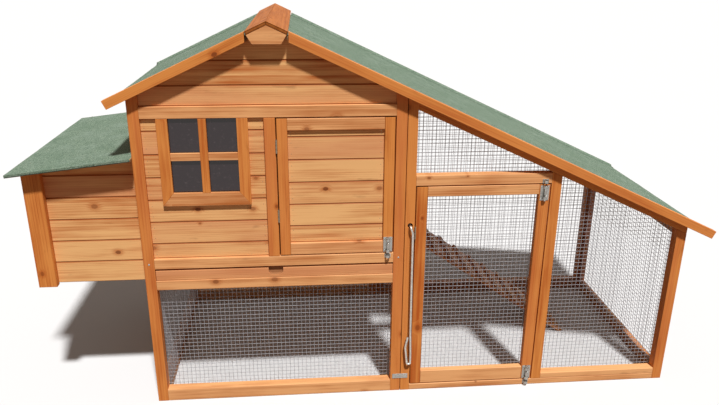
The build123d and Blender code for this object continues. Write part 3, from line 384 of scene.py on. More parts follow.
def fir_grain():
    """Stained fir, worked out along each stick's own length, width and thickness: growth rings round a pith
    beside the stick, fibres, streaks and smears drawn out along it, rosy patches on some sticks, and knots
    with rings pushed round them. Edges have thinner stain, and grooves and end grain are darker. A dark band
    along the joints between boards is partly the joints' own stain and partly painted shade of the gaps."""
    tree, given, out = new_group(
        "fir_grain",
        [("Pale", "Color"), ("Deep", "Color"), ("Rosy", "Color"), ("Knot", "Color"), ("Ring share", "Float"),
         ("Knot share", "Float"), ("Spread", "Float"), ("Joint", "Float"), ("End", "Float")],
        [("Color", "Color"), ("Roughness", "Float"), ("Height", "Float")])
    along, across, thick = parts_of(tree, held(tree, "grain"))
    _, half_width, half_thick = parts_of(tree, held(tree, "half"))
    first, second, third = parts_of(tree, held(tree, "stick"))
    u = calc(tree, "MULTIPLY_ADD", first, SHIFT_ALONG, along)
    v = calc(tree, "MULTIPLY_ADD", calc(tree, "SUBTRACT", second, 0.5), SHIFT_ACROSS, across)
    w = calc(tree, "ADD", calc(tree, "MULTIPLY_ADD", third, SHIFT_THROUGH, PITH_LEAST), thick)
    at = join(tree, u, v, w)

    # Knots, growth rings, fibres and streaks
    core, halo, core_share = knots(tree, at, given["Knot share"])
    wander = swing(tree, drawn_cloud(tree, at, WANDER_GRAIN, detail=3.0), RING_WANDER)
    from_pith = distance(tree, calc(tree, "ADD", v, wander), w)
    ring_count = calc(tree, "DIVIDE", calc(tree, "MULTIPLY_ADD", halo, KNOT_PUSH, from_pith), RING_WIDTH)
    ring = calc(tree, "POWER", calc(tree, "FRACT", ring_count), RING_SHARP)
    fibre = drawn_cloud(tree, at, FIBRE_GRAIN, detail=2.0, rough=0.6)
    streak = drawn_cloud(tree, at, STREAK_GRAIN, detail=3.0, rough=0.55)

    # Stain: how deep the tint is, and the colours laid over it
    ring_stain = calc(tree, "MULTIPLY", ring, given["Ring share"])
    streak_stain = swing(tree, streak, STREAK_SIZE, STREAK_MIDDLE)
    fibre_stain = swing(tree, fibre, FIBRE_SIZE, FIBRE_MIDDLE)
    stick_stain = calc(tree, "MULTIPLY", calc(tree, "SUBTRACT", third, 0.5), given["Spread"])
    deep = calc(tree, "ADD", calc(tree, "ADD", ring_stain, streak_stain), fibre_stain)
    deep = calc(tree, "ADD", deep, stick_stain)
    blotch = cloud(tree, place(tree), BLOTCH_SCALE)
    deep = calc(tree, "ADD", deep, swing(tree, blotch, BLOTCH_SIZE), clamp=True)
    colour = tint(tree, deep, given["Pale"], given["Deep"])
    patch = ease(tree, drawn_cloud(tree, at, ROSY_GRAIN), *ROSY_PATCH, *ROSY_SHARES)
    rosy = calc(tree, "MULTIPLY", ease(tree, second, *ROSY_STICKS), patch)
    colour = tint(tree, rosy, colour, given["Rosy"])
    smear = drawn_cloud(tree, at, SMEAR_GRAIN, detail=3.0, rough=0.6)
    colour = lay(tree, colour, given["Knot"], smear, SMEAR_SPAN, SMEAR_SHARE)
    colour = tint(tree, calc(tree, "MULTIPLY", halo, HALO_SHARE), colour, given["Deep"])
    colour = tint(tree, calc(tree, "MULTIPLY", core, core_share), colour, given["Knot"])

    # Edges, seams with painted gap shade, grooves and ends, from the distance to the stick's sides
    side_v = calc(tree, "SUBTRACT", half_width, calc(tree, "ABSOLUTE", across))
    side_w = calc(tree, "SUBTRACT", half_thick, calc(tree, "ABSOLUTE", thick))
    to_edge = calc(tree, "MAXIMUM", side_v, side_w)
    inside = calc(tree, "MINIMUM", side_v, side_w)
    worn = ease(tree, calc(tree, "MULTIPLY_ADD", fibre, EDGE_RAGGED, to_edge), *EDGE_SPAN, 1.0, 0.0)
    open_edge = calc(tree, "MULTIPLY_ADD", given["Joint"], -EDGE_SHARE, EDGE_SHARE)
    colour = tint(tree, calc(tree, "MULTIPLY", worn, open_edge), colour, given["Pale"])
    # Painted shade: a dark red-brown band along each board joint, partly stain, partly the gap's shade
    # painted on
    seam_and_gap_shade = calc(tree, "MULTIPLY", ease(tree, to_edge, *SEAM_AND_GAP_SHADE_SPAN, SEAM_AND_GAP_SHADE_SHARE, 0.0), given["Joint"])
    colour = tint(tree, seam_and_gap_shade, colour, SEAM_AND_GAP_SHADE_TONE)
    end = ease(tree, inside, *END_SPAN)
    groove = calc(tree, "MULTIPLY", ease(tree, inside, *GROOVE_SPAN), calc(tree, "SUBTRACT", 1.0, end))
    groove_shade = calc(tree, "MULTIPLY_ADD", given["Joint"], JOINT_RELIEF, -GROOVE_SHADE)
    pores = drawn_cloud(tree, join(tree, v, w, u), PORE_GRAIN)
    end_shade = calc(tree, "MULTIPLY", end, calc(tree, "MULTIPLY_ADD", pores, PORE_SHADE, given["End"]))
    light = calc(tree, "SUBTRACT", calc(tree, "MULTIPLY_ADD", groove, groove_shade, 1.0), end_shade)
    plug(tree, out["Color"], tint(tree, 1.0, colour, join(tree, light, light, light), "MULTIPLY"))

    rough = calc(tree, "MULTIPLY_ADD", fibre, ROUGH_FIBRE, ROUGH_LEAST)
    plug(tree, out["Roughness"], calc(tree, "MULTIPLY_ADD", end, ROUGH_END, rough))
    relief = calc(tree, "MULTIPLY_ADD", fibre, RELIEF_FIBRE, calc(tree, "MULTIPLY", ring, RELIEF_RING))
    plug(tree, out["Height"], calc(tree, "MULTIPLY_ADD", core, RELIEF_KNOT, relief))
    return tree


grain_group = fir_grain()


def wood(name, pale, deep, rosy, knot, ring_share, knot_share, spread, joint=0.0, gloss=0.15, end=0.32):
    """One wood finish made with the grain group."""
    material, tree, shader = new_material(name)
    made = use_group(tree, grain_group, Pale=pale, Deep=deep, Rosy=rosy, Knot=knot, Ring_share=ring_share,
                     Knot_share=knot_share, Spread=spread, Joint=joint, End=end)
    put_on(tree, shader, made, WOOD_RELIEF)
    shader.inputs["Specular IOR Level"].default_value = gloss
    return material


KNOT_TONE = tone(112, 56, 26)
honey_boards = wood("honey_boards", tone(242, 188, 126), tone(190, 108, 54), tone(218, 146, 102), KNOT_TONE,
                    ring_share=0.42, knot_share=0.36, spread=0.45, joint=1.0)
honey_rails = wood("honey_rails", tone(238, 176, 118), tone(184, 106, 54), tone(218, 146, 100), KNOT_TONE,
                   ring_share=0.42, knot_share=0.36, spread=0.65)
red_posts = wood("red_posts", tone(226, 146, 74), tone(180, 88, 32), tone(210, 122, 68), tone(104, 44, 18),
                 ring_share=0.38, knot_share=0.25, spread=0.60)
cap_wood = wood("cap_wood", tone(192, 116, 58), tone(150, 80, 34), tone(178, 101, 52), KNOT_TONE,
                ring_share=0.30, knot_share=0.30, spread=0.40, gloss=0.02, end=0.0)
plain_softwood = wood("plain_softwood", tone(222, 188, 140), tone(188, 142, 92), tone(214, 172, 132),
                      tone(120, 76, 42), ring_share=0.40, knot_share=0.40, spread=0.40)


# Felt finish

GRIT_SCALE = 640.0
GRIT_DULL = tone(95, 118, 99)
GRIT_GREEN = tone(136, 155, 135)
GRIT_PALE = tone(164, 176, 154)
GRIT_PALE_SPAN = (0.82, 0.9)
GRIT_DARK = tone(60, 80, 64)
GRIT_DARK_SPAN = (0.16, 0.1)
GRIT_RELIEF = 0.0009
STAIN_SCALE = 14.0
STAIN_SHARE = 0.42
STAIN_PALE = tone(146, 162, 147)
STAIN_PALE_SPAN = (0.46, 0.72)
STAIN_DARK = tone(94, 119, 96)
STAIN_DARK_SPAN = (0.46, 0.26)
PATCH_SCALE = 60.0
PATCH_SHARE = 0.45
PATCH_TONE = tone(80, 103, 84)
PATCH_SPAN = (0.5, 0.8)
CUT_TONE = tone(42, 50, 46)
CUT_SPAN = (0.70, 1.0)
FELT_ROUGH = 0.92
FELT_GLOSS = 0.2


def felt_finish():
    """Mineral felt: granules in greens and greys, soft stains and patches, and a cut edge of dark bitumen."""
    material, tree, shader = new_material("mineral_felt")
    at = place(tree)
    from_grit, chance, _ = cells(tree, at, GRIT_SCALE)
    pick, light, _ = parts_of(tree, chance)
    stain = cloud(tree, at, STAIN_SCALE, detail=4.0, rough=0.6)
    patch = cloud(tree, at, PATCH_SCALE, detail=3.0)
    rim, _, _ = parts_of(tree, held(tree, "rim"))
    colour = tint(tree, pick, GRIT_DULL, GRIT_GREEN)
    colour = lay(tree, colour, GRIT_PALE, light, GRIT_PALE_SPAN)
    colour = lay(tree, colour, GRIT_DARK, light, GRIT_DARK_SPAN)
    colour = lay(tree, colour, STAIN_PALE, stain, STAIN_PALE_SPAN, STAIN_SHARE)
    colour = lay(tree, colour, STAIN_DARK, stain, STAIN_DARK_SPAN, STAIN_SHARE)
    colour = lay(tree, colour, PATCH_TONE, patch, PATCH_SPAN, PATCH_SHARE)
    colour = lay(tree, colour, CUT_TONE, rim, CUT_SPAN)
    plug(tree, shader.inputs["Base Color"], colour)
    shader.inputs["Roughness"].default_value = FELT_ROUGH
    shader.inputs["Specular IOR Level"].default_value = FELT_GLOSS
    bump(tree, shader, calc(tree, "SUBTRACT", 1.0, from_grit), GRIT_RELIEF)
    return material


mineral_felt = felt_finish()


# Metal finishes

CRYSTAL_SHARE = 0.45
DULL_SCALE = 160.0
DULL_SIZE = 0.9
DULL_START = -0.35
DULL_ROUGH = 0.22
SCRATCH_GRAIN = (900.0, 900.0, 60.0)
SCRATCH_ROUGH = 0.1
SCRATCH_RELIEF = 0.00004


def zinc_coat():
    """Zinc on steel: crystals of slightly different brightness, dull stains, and fine upright scratches."""
    tree, given, out = new_group(
        "zinc_coat",
        [("Base", "Color"), ("Dull", "Color"), ("Rough", "Float"), ("Crystals", "Float")],
        [("Color", "Color"), ("Roughness", "Float"), ("Height", "Float")])
    at = place(tree)
    _, chance, _ = cells(tree, at, given["Crystals"])
    pick, _, _ = parts_of(tree, chance)
    stain = cloud(tree, at, DULL_SCALE, detail=4.0)
    stained = calc(tree, "MULTIPLY_ADD", stain, DULL_SIZE, DULL_START)
    share = calc(tree, "MULTIPLY_ADD", pick, CRYSTAL_SHARE, stained, clamp=True)
    plug(tree, out["Color"], tint(tree, share, given["Base"], given["Dull"]))
    scratch = drawn_cloud(tree, at, SCRATCH_GRAIN)
    rough = calc(tree, "ADD", given["Rough"], swing(tree, stain, DULL_ROUGH))
    plug(tree, out["Roughness"], calc(tree, "MULTIPLY_ADD", scratch, SCRATCH_ROUGH, rough))
    plug(tree, out["Height"], scratch)
    return tree


zinc_group = zinc_coat()


def metal(name, base, dull, rough, crystals, metallic=1.0):
    """One metal finish made with the zinc group."""
    material, tree, shader = new_material(name)
    made = use_group(tree, zinc_group, Base=base, Dull=dull, Rough=rough, Crystals=crystals)
    put_on(tree, shader, made, SCRATCH_RELIEF)
    shader.inputs["Metallic"].default_value = metallic
    return material


zinc_plate = metal("zinc_plate", tone(178, 176, 170), tone(118, 116, 110), rough=0.40, crystals=700.0)
# Painted shade: a darker, browner copy of the plate zinc, for hinges that sit in shadow; the brads take it
# too
zinc_with_painted_shade = metal("zinc_with_painted_shade", tone(150, 136, 116), tone(100, 86, 70), rough=0.48, crystals=700.0)
bright_rod = metal("bright_rod", tone(206, 202, 194), tone(150, 144, 136), rough=0.30, crystals=260.0)
galvanised_wire = metal("galvanised_wire", tone(176, 176, 180), tone(132, 132, 136), rough=0.50,
                        crystals=300.0, metallic=0.25)
galvanised_sheet = metal("galvanised_sheet", tone(196, 200, 202), tone(160, 164, 166), rough=0.36,
                         crystals=120.0)


# Pane finish

PANE_TONE = tone(44, 34, 37)
PANE_ROUGH = 0.12
DUST_TONE = tone(80, 70, 72)
DUST_ROUGH = 0.4
DUST_SCALE = 90.0
DUST_SPAN = (0.52, 0.85)


def pane_finish():
    """Near-black acrylic sheet with faint dust."""
    material, tree, shader = new_material("dark_pane")
    dust = ease(tree, cloud(tree, place(tree), DUST_SCALE, detail=6.0, rough=0.7), *DUST_SPAN)
    plug(tree, shader.inputs["Base Color"], tint(tree, dust, PANE_TONE, DUST_TONE))
    plug(tree, shader.inputs["Roughness"], calc(tree, "MULTIPLY_ADD", dust, DUST_ROUGH, PANE_ROUGH))
    return material


dark_pane = pane_finish()


# Mesh helpers

MERGE_STEP = 1e-6
FLAT_ANGLE = np.radians(0.6)
EDGE_SEGMENTS = 2


def read(items, name, width=1, kind=np.float64):
    """Values that a mesh holds for its points, edges, faces or corners, as an array with a row for each."""
    values = np.empty(len(items) * width, dtype=kind)
    items.foreach_get(name, values)
    return values.reshape(-1, width) if width > 1 else values


def hold(mesh, name, values):
    """Give each point of a mesh a vector that its finish reads."""
    layer = mesh.attributes.new(name, "FLOAT_VECTOR", "POINT")
    layer.data.foreach_set("vector", values.astype(np.float32).ravel())


def new_mesh(name, points, *faces):
    """A mesh from an array of points and arrays of faces."""
    mesh = bpy.data.meshes.new(name)
    mesh.from_pydata(points.reshape(-1, 3).tolist(), [], sum((part.tolist() for part in faces), []))
    return mesh


def grid_faces(index):
    """Faces of a grid of points, given the points' numbers."""
    return np.stack([index[:-1, :-1], index[1:, :-1], index[1:, 1:], index[:-1, 1:]], -1).reshape(-1, 4)


def tube_faces(shape):
    """Side faces and end faces of tubes whose points lie in an array by tube, ring and place on the ring."""
    index = np.arange(np.prod(shape)).reshape(shape)
    after = np.roll(index, -1, axis=2)
    sides = np.stack([index[:, :-1], after[:, :-1], after[:, 1:], index[:, 1:]], -1).reshape(-1, 4)
    return sides, np.concatenate([index[:, 0, ::-1], index[:, -1]])


def smooth(mesh, angle):
    """Smooth shading, apart from edges sharper than an angle."""
    mesh.shade_smooth()
    mesh.set_sharp_from_angle(angle=angle)


def soften(piece, width, angle):
    """Small rounded edges on a piece."""
    edge = piece.modifiers.new("soft_edges", "BEVEL")
    edge.width = width
    edge.segments = EDGE_SEGMENTS
    edge.limit_method = "ANGLE"
    edge.angle_limit = angle
    edge.use_clamp_overlap = True


def cad_mesh(node, name):
    """A copy of a solid's mesh, merged where its triangles meet and with its flat faces whole."""
    source = frame["nodes"][node].data
    points = read(source.vertices, "co", 3)
    keys = np.round(points / MERGE_STEP).astype(np.int64)
    _, kept, number = np.unique(keys, axis=0, return_index=True, return_inverse=True)
    faces = number.ravel()[read(source.loops, "vertex_index", kind=np.int64)].reshape(-1, 3)
    whole = (faces[:, 0] != faces[:, 1]) & (faces[:, 1] != faces[:, 2]) & (faces[:, 0] != faces[:, 2])
    mesh = new_mesh(name, points[kept], faces[whole])
    work = bmesh.new()
    work.from_mesh(mesh)
    bmesh.ops.dissolve_limit(work, angle_limit=FLAT_ANGLE, verts=work.verts, edges=work.edges)
    work.to_mesh(mesh)
    work.free()
    return mesh


def solid_edges(node):
    """Both ends of every edge of a solid's mesh."""
    source = frame["nodes"][node].data
    return read(source.vertices, "co", 3)[read(source.edges, "vertices", 2, np.int64)]


def body_of(node):
    """Name of the body that a solid belongs to."""
    return frame["nodes"][node]["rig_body"]


def slot_of(node):
    """Material slot that the record gives to a solid."""
    return {entry["node"]: entry["material_slot"] for entry in frame["record"]["subparts"]}[node]


def add(name, data):
    """A new object in the scene."""
    made = bpy.data.objects.new(name, data)
    bpy.context.scene.collection.objects.link(made)
    return made


def show(mesh, body, slot, material, *nodes):
    """Put a finished mesh in the scene: it rides on a body and may stand for solids."""
    piece = add(mesh.name, mesh)
    mesh.materials.append(material)
    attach(piece, body)
    if nodes:
        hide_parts(*nodes)
    return piece


# Wooden pieces

WOOD_EDGE = 0.0007
WOOD_EDGE_ANGLE = np.radians(50.0)
# Largest cosine between directions that count as square to each other
SQUARE = 0.02
# How alike the sides of a nearly square stick are, and the weights of X, Y and Z in choosing its thickness
EVEN_SECTION = 0.45
FRONT_FIRST = np.array([2.0, 4.0, 0.0])


def sloped(angle):
    """Direction of a slope that falls towards +X, and the direction square to it, both in X and Z."""
    return [(np.cos(angle), 0, -np.sin(angle)), (np.sin(angle), 0, np.cos(angle))]


STRAIGHT = [(1, 0, 0), (0, 1, 0), (0, 0, 1)]
RAMP_SLOPE = np.arctan2(RAMP_RISE, RAMP_RUN)
HOUSE_AXES = np.array(STRAIGHT + sloped(ROOF_PITCH) + sloped(-ROOF_PITCH))
LID_AXES = np.array(STRAIGHT + sloped(-LID_SLOPE))
RAMP_AXES = np.array(STRAIGHT + sloped(RAMP_SLOPE))


def stick_numbers(count, edges):
    """Number of the stick that each corner belongs to: the lowest corner number spreads along the edges."""
    number = np.arange(count)
    while True:
        low = np.minimum(number[edges[:, 0]], number[edges[:, 1]])
        spread = number.copy()
        np.minimum.at(spread, edges[:, 0], low)
        np.minimum.at(spread, edges[:, 1], low)
        spread = spread[spread]
        if np.array_equal(spread, number):
            break
        number = spread
    return np.unique(number, return_inverse=True)[1].ravel()


def mark_grain(mesh, axes, seed, lengthwise):
    """Give each corner its place in its own stick. A stick's thickness is the direction that its faces look
    along most, its length the one they look along least, both set to the nearest of the given axes; a nearly
    square stick is taken from front to back, and boards lie level. The mesh holds the place from the stick's
    middle, the stick's half sizes, and three random numbers of the stick. Gives each face's stick, and each
    stick's directions and its lowest and highest place along them."""
    points = read(mesh.vertices, "co", 3)
    number = stick_numbers(len(points), read(mesh.edges, "vertices", 2, np.int64))
    count = number.max() + 1
    normals = read(mesh.polygons, "normal", 3)
    areas = read(mesh.polygons, "area")
    corners = read(mesh.loops, "vertex_index", kind=np.int64)
    face_stick = number[corners[read(mesh.polygons, "loop_start", kind=np.int64)]]
    looks = np.zeros((count, 3, 3))
    np.add.at(looks, face_stick, areas[:, None, None] * normals[:, :, None] * normals[:, None, :])
    shares, turns = np.linalg.eigh(looks)
    even = shares[:, 1] > EVEN_SECTION * shares[:, 2]
    length = axes[np.abs(turns[:, :, 0] @ axes.T).argmax(1)]
    square = np.abs(length @ axes.T) < SQUARE
    shown = np.abs(turns[:, :, 2] @ axes.T) + even[:, None] * np.abs(axes @ FRONT_FIRST)
    thickness = axes[(shown * square).argmax(1)]
    if lengthwise:
        square = (np.abs(thickness @ axes.T) < SQUARE) & (np.abs(axes[:, 2]) < SQUARE)
        length = axes[square.argmax(1)]
    own = np.stack([length, np.cross(thickness, length), thickness], 1)
    local = np.einsum("vij,vj->vi", own[number], points)
    low = np.full((count, 3), np.inf)
    high = np.full((count, 3), -np.inf)
    np.minimum.at(low, number, local)
    np.maximum.at(high, number, local)
    hold(mesh, "grain", local - ((low + high) / 2)[number])
    hold(mesh, "half", ((high - low) / 2)[number])
    hold(mesh, "stick", np.random.default_rng(seed).random((count, 3))[number])
    return face_stick, own, low, high


def dress_wood(node, seed, level, upright, axes=HOUSE_AXES, lengthwise=False):
    """Wooden solids with their grain, and a finish for the level sticks and one for the others. Gives each
    stick's directions and its lowest and highest place along them."""
    mesh = cad_mesh(node, node + "_wood")
    face_stick, own, low, high = mark_grain(mesh, axes, seed, lengthwise)
    piece = show(mesh, body_of(node), slot_of(node), level, node)
    if upright is not level:
        mesh.materials.append(upright)
        stands = (np.abs(own[:, 0, 2]) > SQUARE).astype(np.int32)
        mesh.polygons.foreach_set("material_index", stands[face_stick])
    soften(piece, WOOD_EDGE, WOOD_EDGE_ANGLE)
    return own, low, high


WALL_NODES = ["front_wall_boards", "back_wall_boards", "left_wall_boards", "right_wall_boards",
              "house_door_boards"]
BOARD_NODES = WALL_NODES + ["nest_boards", "pop_door"]
FRAME_NODES = ["house_posts", "house_front_rails", "house_centre_stile", "house_back_rails",
               "house_side_rails", "run_posts", "run_front_rails", "run_back_rails", "run_end_frame",
               "house_door_frame", "run_door_frame", "front_bargeboards", "back_bargeboards",
               "ridge_ornaments", "nest_posts", "pop_door_runners", "window_frame", "tray_front"]
PLAIN_NODES = ["floor_panel", "perches", "perch_blocks", "roof_panel_left", "roof_panel_right", "nest_floor",
               "nest_divider"]

boards = {}
for order, node in enumerate(BOARD_NODES):
    seed = OWN_SEEDS.get(node, BOARD_SEED + order)
    boards[node] = dress_wood(node, seed, honey_boards, honey_boards, lengthwise=True)
for order, node in enumerate(FRAME_NODES):
    dress_wood(node, OWN_SEEDS.get(node, FRAME_SEED + order), honey_rails, red_posts)
dress_wood("ridge_cap", CAP_SEED, cap_wood, cap_wood)
for order, node in enumerate(PLAIN_NODES):
    dress_wood(node, PLAIN_SEED + order, plain_softwood, plain_softwood)
dress_wood("nest_lid_panel", LID_SEED, plain_softwood, plain_softwood, LID_AXES)
dress_wood("ramp", RAMP_SEED, honey_boards, honey_boards, RAMP_AXES)


# Metal pieces and the pane

METAL_EDGE_ANGLE = np.radians(40.0)
ROUND_ANGLE = np.radians(38.0)
PLATE_EDGE = 0.00025
HINGE_EDGE = 0.0002
ROD_EDGE = 0.0002
PAN_EDGE = 0.0004


def dress_metal(node, material, edge):
    """Metal solids with round faces shaded smooth and small rounded edges."""
    mesh = cad_mesh(node, node + "_metal")
    smooth(mesh, ROUND_ANGLE)
    piece = show(mesh, body_of(node), slot_of(node), material, node)
    soften(piece, edge, METAL_EDGE_ANGLE)


for node in ["tie_plates", "bolt_keepers", "house_door_bolt_case", "house_door_bolt", "run_door_bolt_cases",
             "run_door_top_bolt", "run_door_bottom_bolt"]:
    dress_metal(node, zinc_plate, PLATE_EDGE)
# The hinges take the zinc copy that carries painted shade
for node in ["fixed_hinge_leaves", "house_door_hinge_leaves", "run_door_hinge_leaves",
             "nest_lid_hinge_leaves"]:
    dress_metal(node, zinc_with_painted_shade, HINGE_EDGE)
dress_metal("draw_rod", bright_rod, ROD_EDGE)
dress_metal("tray_pan", galvanised_sheet, PAN_EDGE)
frame["nodes"]["window_pane"].data.materials.clear()
frame["nodes"]["window_pane"].data.materials.append(dark_pane)


# Screws and brads

HEAD_SIDES = 12
# Rings of a head from its foot to its top: shares of the radius and of the rise
HEAD_RINGS = np.array([(1.0, -0.3), (1.0, 0.0), (0.86, 0.62), (0.5, 0.95), (0.16, 1.0)])
HEAD_ANGLE = np.radians(60.0)
STEEP = 0.5
SCREW_RADIUS = 0.0021
SCREW_RISE = 0.0009
TIE_SCREW_RISE = 0.0003
TIE_SCREWS = np.array([-0.018, -0.008, 0.010, 0.019])
POST_SCREW_RADIUS = 0.0030
POST_SCREW_SIDE = 0.015
POST_SCREW_DROP = 0.016
PLATE_LENGTH = 0.046
PLATE_THICK = 0.0012
PLATE_SCREW_SIDE = 0.0096
PLATE_SCREW_END = 0.005
BRAD_RADIUS = 0.0010
BRAD_RISE = 0.00018
BRAD_INSET = 0.009
BRAD_SPREAD = 0.48
FRONT_WAY = np.array([0.0, -1.0, 0.0])
PLACE_DIGITS = 6


def round_heads(name, body, places, ways, radius, rise, material):
    """Heads of screws or brads: a half-oval profile turned about each place's own direction, closed above and
    below, all in one mesh."""
    places = np.asarray(places)
    ways = np.asarray(ways)
    helper = np.where(np.abs(ways[:, 2:]) > STEEP, (1.0, 0.0, 0.0), (0.0, 0.0, 1.0))
    first = np.cross(helper, ways)
    first = first / np.linalg.norm(first, axis=1, keepdims=True)
    second = np.cross(ways, first)
    turn = 2 * np.pi * np.arange(HEAD_SIDES) / HEAD_SIDES
    spoke = np.cos(turn)[None, :, None] * first[:, None] + np.sin(turn)[None, :, None] * second[:, None]
    points = places[:, None, None] + radius * HEAD_RINGS[None, :, :1, None] * spoke[:, None]
    points = points + rise * HEAD_RINGS[None, :, 1:, None] * ways[:, None, None]
    mesh = new_mesh(name, points, *tube_faces(points.shape[:3]))
    smooth(mesh, HEAD_ANGLE)
    show(mesh, body, "zinc", material)


def outward(spots):
    """Direction out of the front or the back for each spot."""
    return [FRONT_WAY if spot[1] < 0 else -FRONT_WAY for spot in spots]


def plate_screws(name, node):
    """Four screws of each bolt plate of a node, near its corners."""
    low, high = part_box(node)
    middle = (low[0] + high[0]) / 2
    face = high[1] - PLATE_THICK
    feet = sorted({round(low[2], PLACE_DIGITS), round(high[2] - PLATE_LENGTH, PLACE_DIGITS)})
    spots = [(middle + side * PLATE_SCREW_SIDE, face, foot + end) for foot in feet for side in (-1, 1)
             for end in (PLATE_SCREW_END, PLATE_LENGTH - PLATE_SCREW_END)]
    round_heads(name, body_of(node), spots, outward(spots), SCREW_RADIUS, SCREW_RISE, zinc_plate)


def tie_screws():
    """A row of screws along each tie plate."""
    low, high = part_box("tie_plates")
    middle = (low[0] + high[0]) / 2
    level = (low[2] + high[2]) / 2
    spots = [(middle + step, y, level) for y in (low[1], high[1]) for step in TIE_SCREWS]
    round_heads("tie_screws", body_of("tie_plates"), spots, outward(spots), SCREW_RADIUS, TIE_SCREW_RISE,
                zinc_plate)


def post_screws():
    """A screw in each corner post of the house, front and back, where the sill meets it."""
    low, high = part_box("house_posts")
    stile_low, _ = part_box("house_centre_stile")
    level = stile_low[2] - POST_SCREW_DROP
    sides = (low[0] + POST_SCREW_SIDE, high[0] - POST_SCREW_SIDE)
    spots = [(x, y, level) for x in sides for y in (low[1], high[1])]
    round_heads("post_screws", body_of("house_posts"), spots, outward(spots), POST_SCREW_RADIUS, SCREW_RISE,
                zinc_plate)


def board_brads(node, room):
    """Two brads at each end of each board, on the side that looks away from the middle of a room's node. The
    cut boards of the gables are left out."""
    middle = np.mean(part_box(room), axis=0)
    _, rails_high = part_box("house_front_rails")
    own, low, high = boards[node]
    centre = np.einsum("sji,sj->si", own, (low + high) / 2)
    half = (high - low) / 2
    flat = centre[:, 2] < rails_high[2]
    own, centre, half = own[flat], centre[flat], half[flat]
    away = np.sign(np.einsum("si,si->s", centre - middle, own[:, 2]))[:, None]
    face = centre + away * half[:, 2:] * own[:, 2]
    ends = (half[:, :1] - BRAD_INSET) * own[:, 0]
    sides = BRAD_SPREAD * half[:, 1:2] * own[:, 1]
    spots = [face + a * ends + b * sides for a in (-1, 1) for b in (-1, 1)]
    ways = np.concatenate([away * own[:, 2]] * len(spots))
    spots = np.concatenate(spots)
    # The brads take the zinc copy that carries painted shade
    round_heads(node + "_brads", body_of(node), spots, ways, BRAD_RADIUS, BRAD_RISE, zinc_with_painted_shade)


plate_screws("house_door_bolt_screws", "house_door_bolt_case")
plate_screws("run_door_bolt_screws", "run_door_bolt_cases")
tie_screws()
post_screws()
for node in WALL_NODES:
    board_brads(node, "house_posts")
board_brads("nest_boards", "nest_floor")


# Nets: half-inch welded mesh

MESH_PITCH = 0.0127
WIRE_RADIUS = 0.00062
WIRE_SIDES = 6
WIRE_STATIONS = 9
WIRE_BOW = 0.00035
WIRE_WAVES = (1.0, 3.0)
WIRE_SINK = 0.0003
WIRE_ANGLE = np.radians(70.0)
NET_MARGIN = 0.002
WIRE_INSET = 0.0005
WIRE_SHORTEST = 0.008
LEAST_RUN = 1e-9


def reach(ends, across, along, places):
    """How far a flat outline goes along one axis at each place on the other: the lowest and highest crossing
    of its edges with the line there."""
    first = ends[:, 0, across][None, :]
    last = ends[:, 1, across][None, :]
    here = places[:, None]
    run = last - first
    slants = np.abs(run) > LEAST_RUN
    crosses = (np.minimum(first, last) <= here) & (np.maximum(first, last) >= here)
    share = np.where(slants, (here - first) / np.where(slants, run, 1.0), 0.0)
    level = ends[:, 0, along] + share * (ends[:, 1, along] - ends[:, 0, along])
    return np.where(crosses, level, np.inf).min(1), np.where(crosses, level, -np.inf).max(1)


def wire_points(starts, ends, normal, chance):
    """Wires as thin prisms: a regular polygon carried from start to end, bowed sideways by a random sine
    wave. Gives the points by wire, station and side."""
    count = len(starts)
    share = np.linspace(0, 1, WIRE_STATIONS)
    run = ends - starts
    side = np.cross(normal, run / np.linalg.norm(run, axis=1, keepdims=True))
    waves = chance.uniform(*WIRE_WAVES, (count, 1))
    phase = chance.uniform(0, 2 * np.pi, (count, 1))
    size = WIRE_BOW * chance.uniform(-1, 1, (count, 1))
    sway = size * np.sin(2 * np.pi * waves * share[None, :] + phase) * np.sin(np.pi * share)[None, :]
    line = starts[:, None, :] + run[:, None, :] * share[None, :, None] + side[:, None, :] * sway[:, :, None]
    turn = 2 * np.pi * (np.arange(WIRE_SIDES) + 0.5) / WIRE_SIDES
    ring = np.cos(turn)[None, :, None] * side[:, None, :] + np.sin(turn)[None, :, None] * normal
    return line[:, :, None, :] + WIRE_RADIUS * ring[:, None, :, :]


def net_wires(node, seed):
    """A welded net: two sets of wires at the mesh's pitch, each wire ending where the solid's outline does,
    one set lying on the other."""
    edges = solid_edges(node)
    low, high = (np.array(corner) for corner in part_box(node))
    flat = int((high - low).argmin())
    axes = [axis for axis in range(3) if axis != flat]
    chance = np.random.default_rng(seed)
    sets = []
    for layer, (across, along) in ((-1, axes), (1, axes[::-1])):
        span = high[across] - low[across] - 2 * NET_MARGIN
        count = int(span / MESH_PITCH) + 1
        inset = (span - (count - 1) * MESH_PITCH) / 2 + NET_MARGIN
        places = low[across] + inset + MESH_PITCH * np.arange(count)
        bottom, top = reach(edges, across, along, places)
        long_enough = top - bottom > WIRE_SHORTEST
        starts = np.zeros((long_enough.sum(), 3))
        starts[:, across] = places[long_enough]
        starts[:, flat] = (low[flat] + high[flat]) / 2 + layer * WIRE_SINK
        ends = starts.copy()
        starts[:, along] = bottom[long_enough] + WIRE_INSET
        ends[:, along] = top[long_enough] - WIRE_INSET
        sets.append(wire_points(starts, ends, np.eye(3)[flat], chance))
    points = np.concatenate(sets)
    mesh = new_mesh(node + "_wires", points, *tube_faces(points.shape[:3]))
    smooth(mesh, WIRE_ANGLE)
    show(mesh, body_of(node), slot_of(node), galvanised_wire, node)


NET_NODES = ["net_house_front", "net_house_back", "net_house_left", "net_run_gable", "net_run_front",
             "net_run_back", "net_run_end", "net_run_door"]
for order, node in enumerate(NET_NODES):
    net_wires(node, NET_SEED + order)


# Felt pieces

FELT_STEP = 0.009
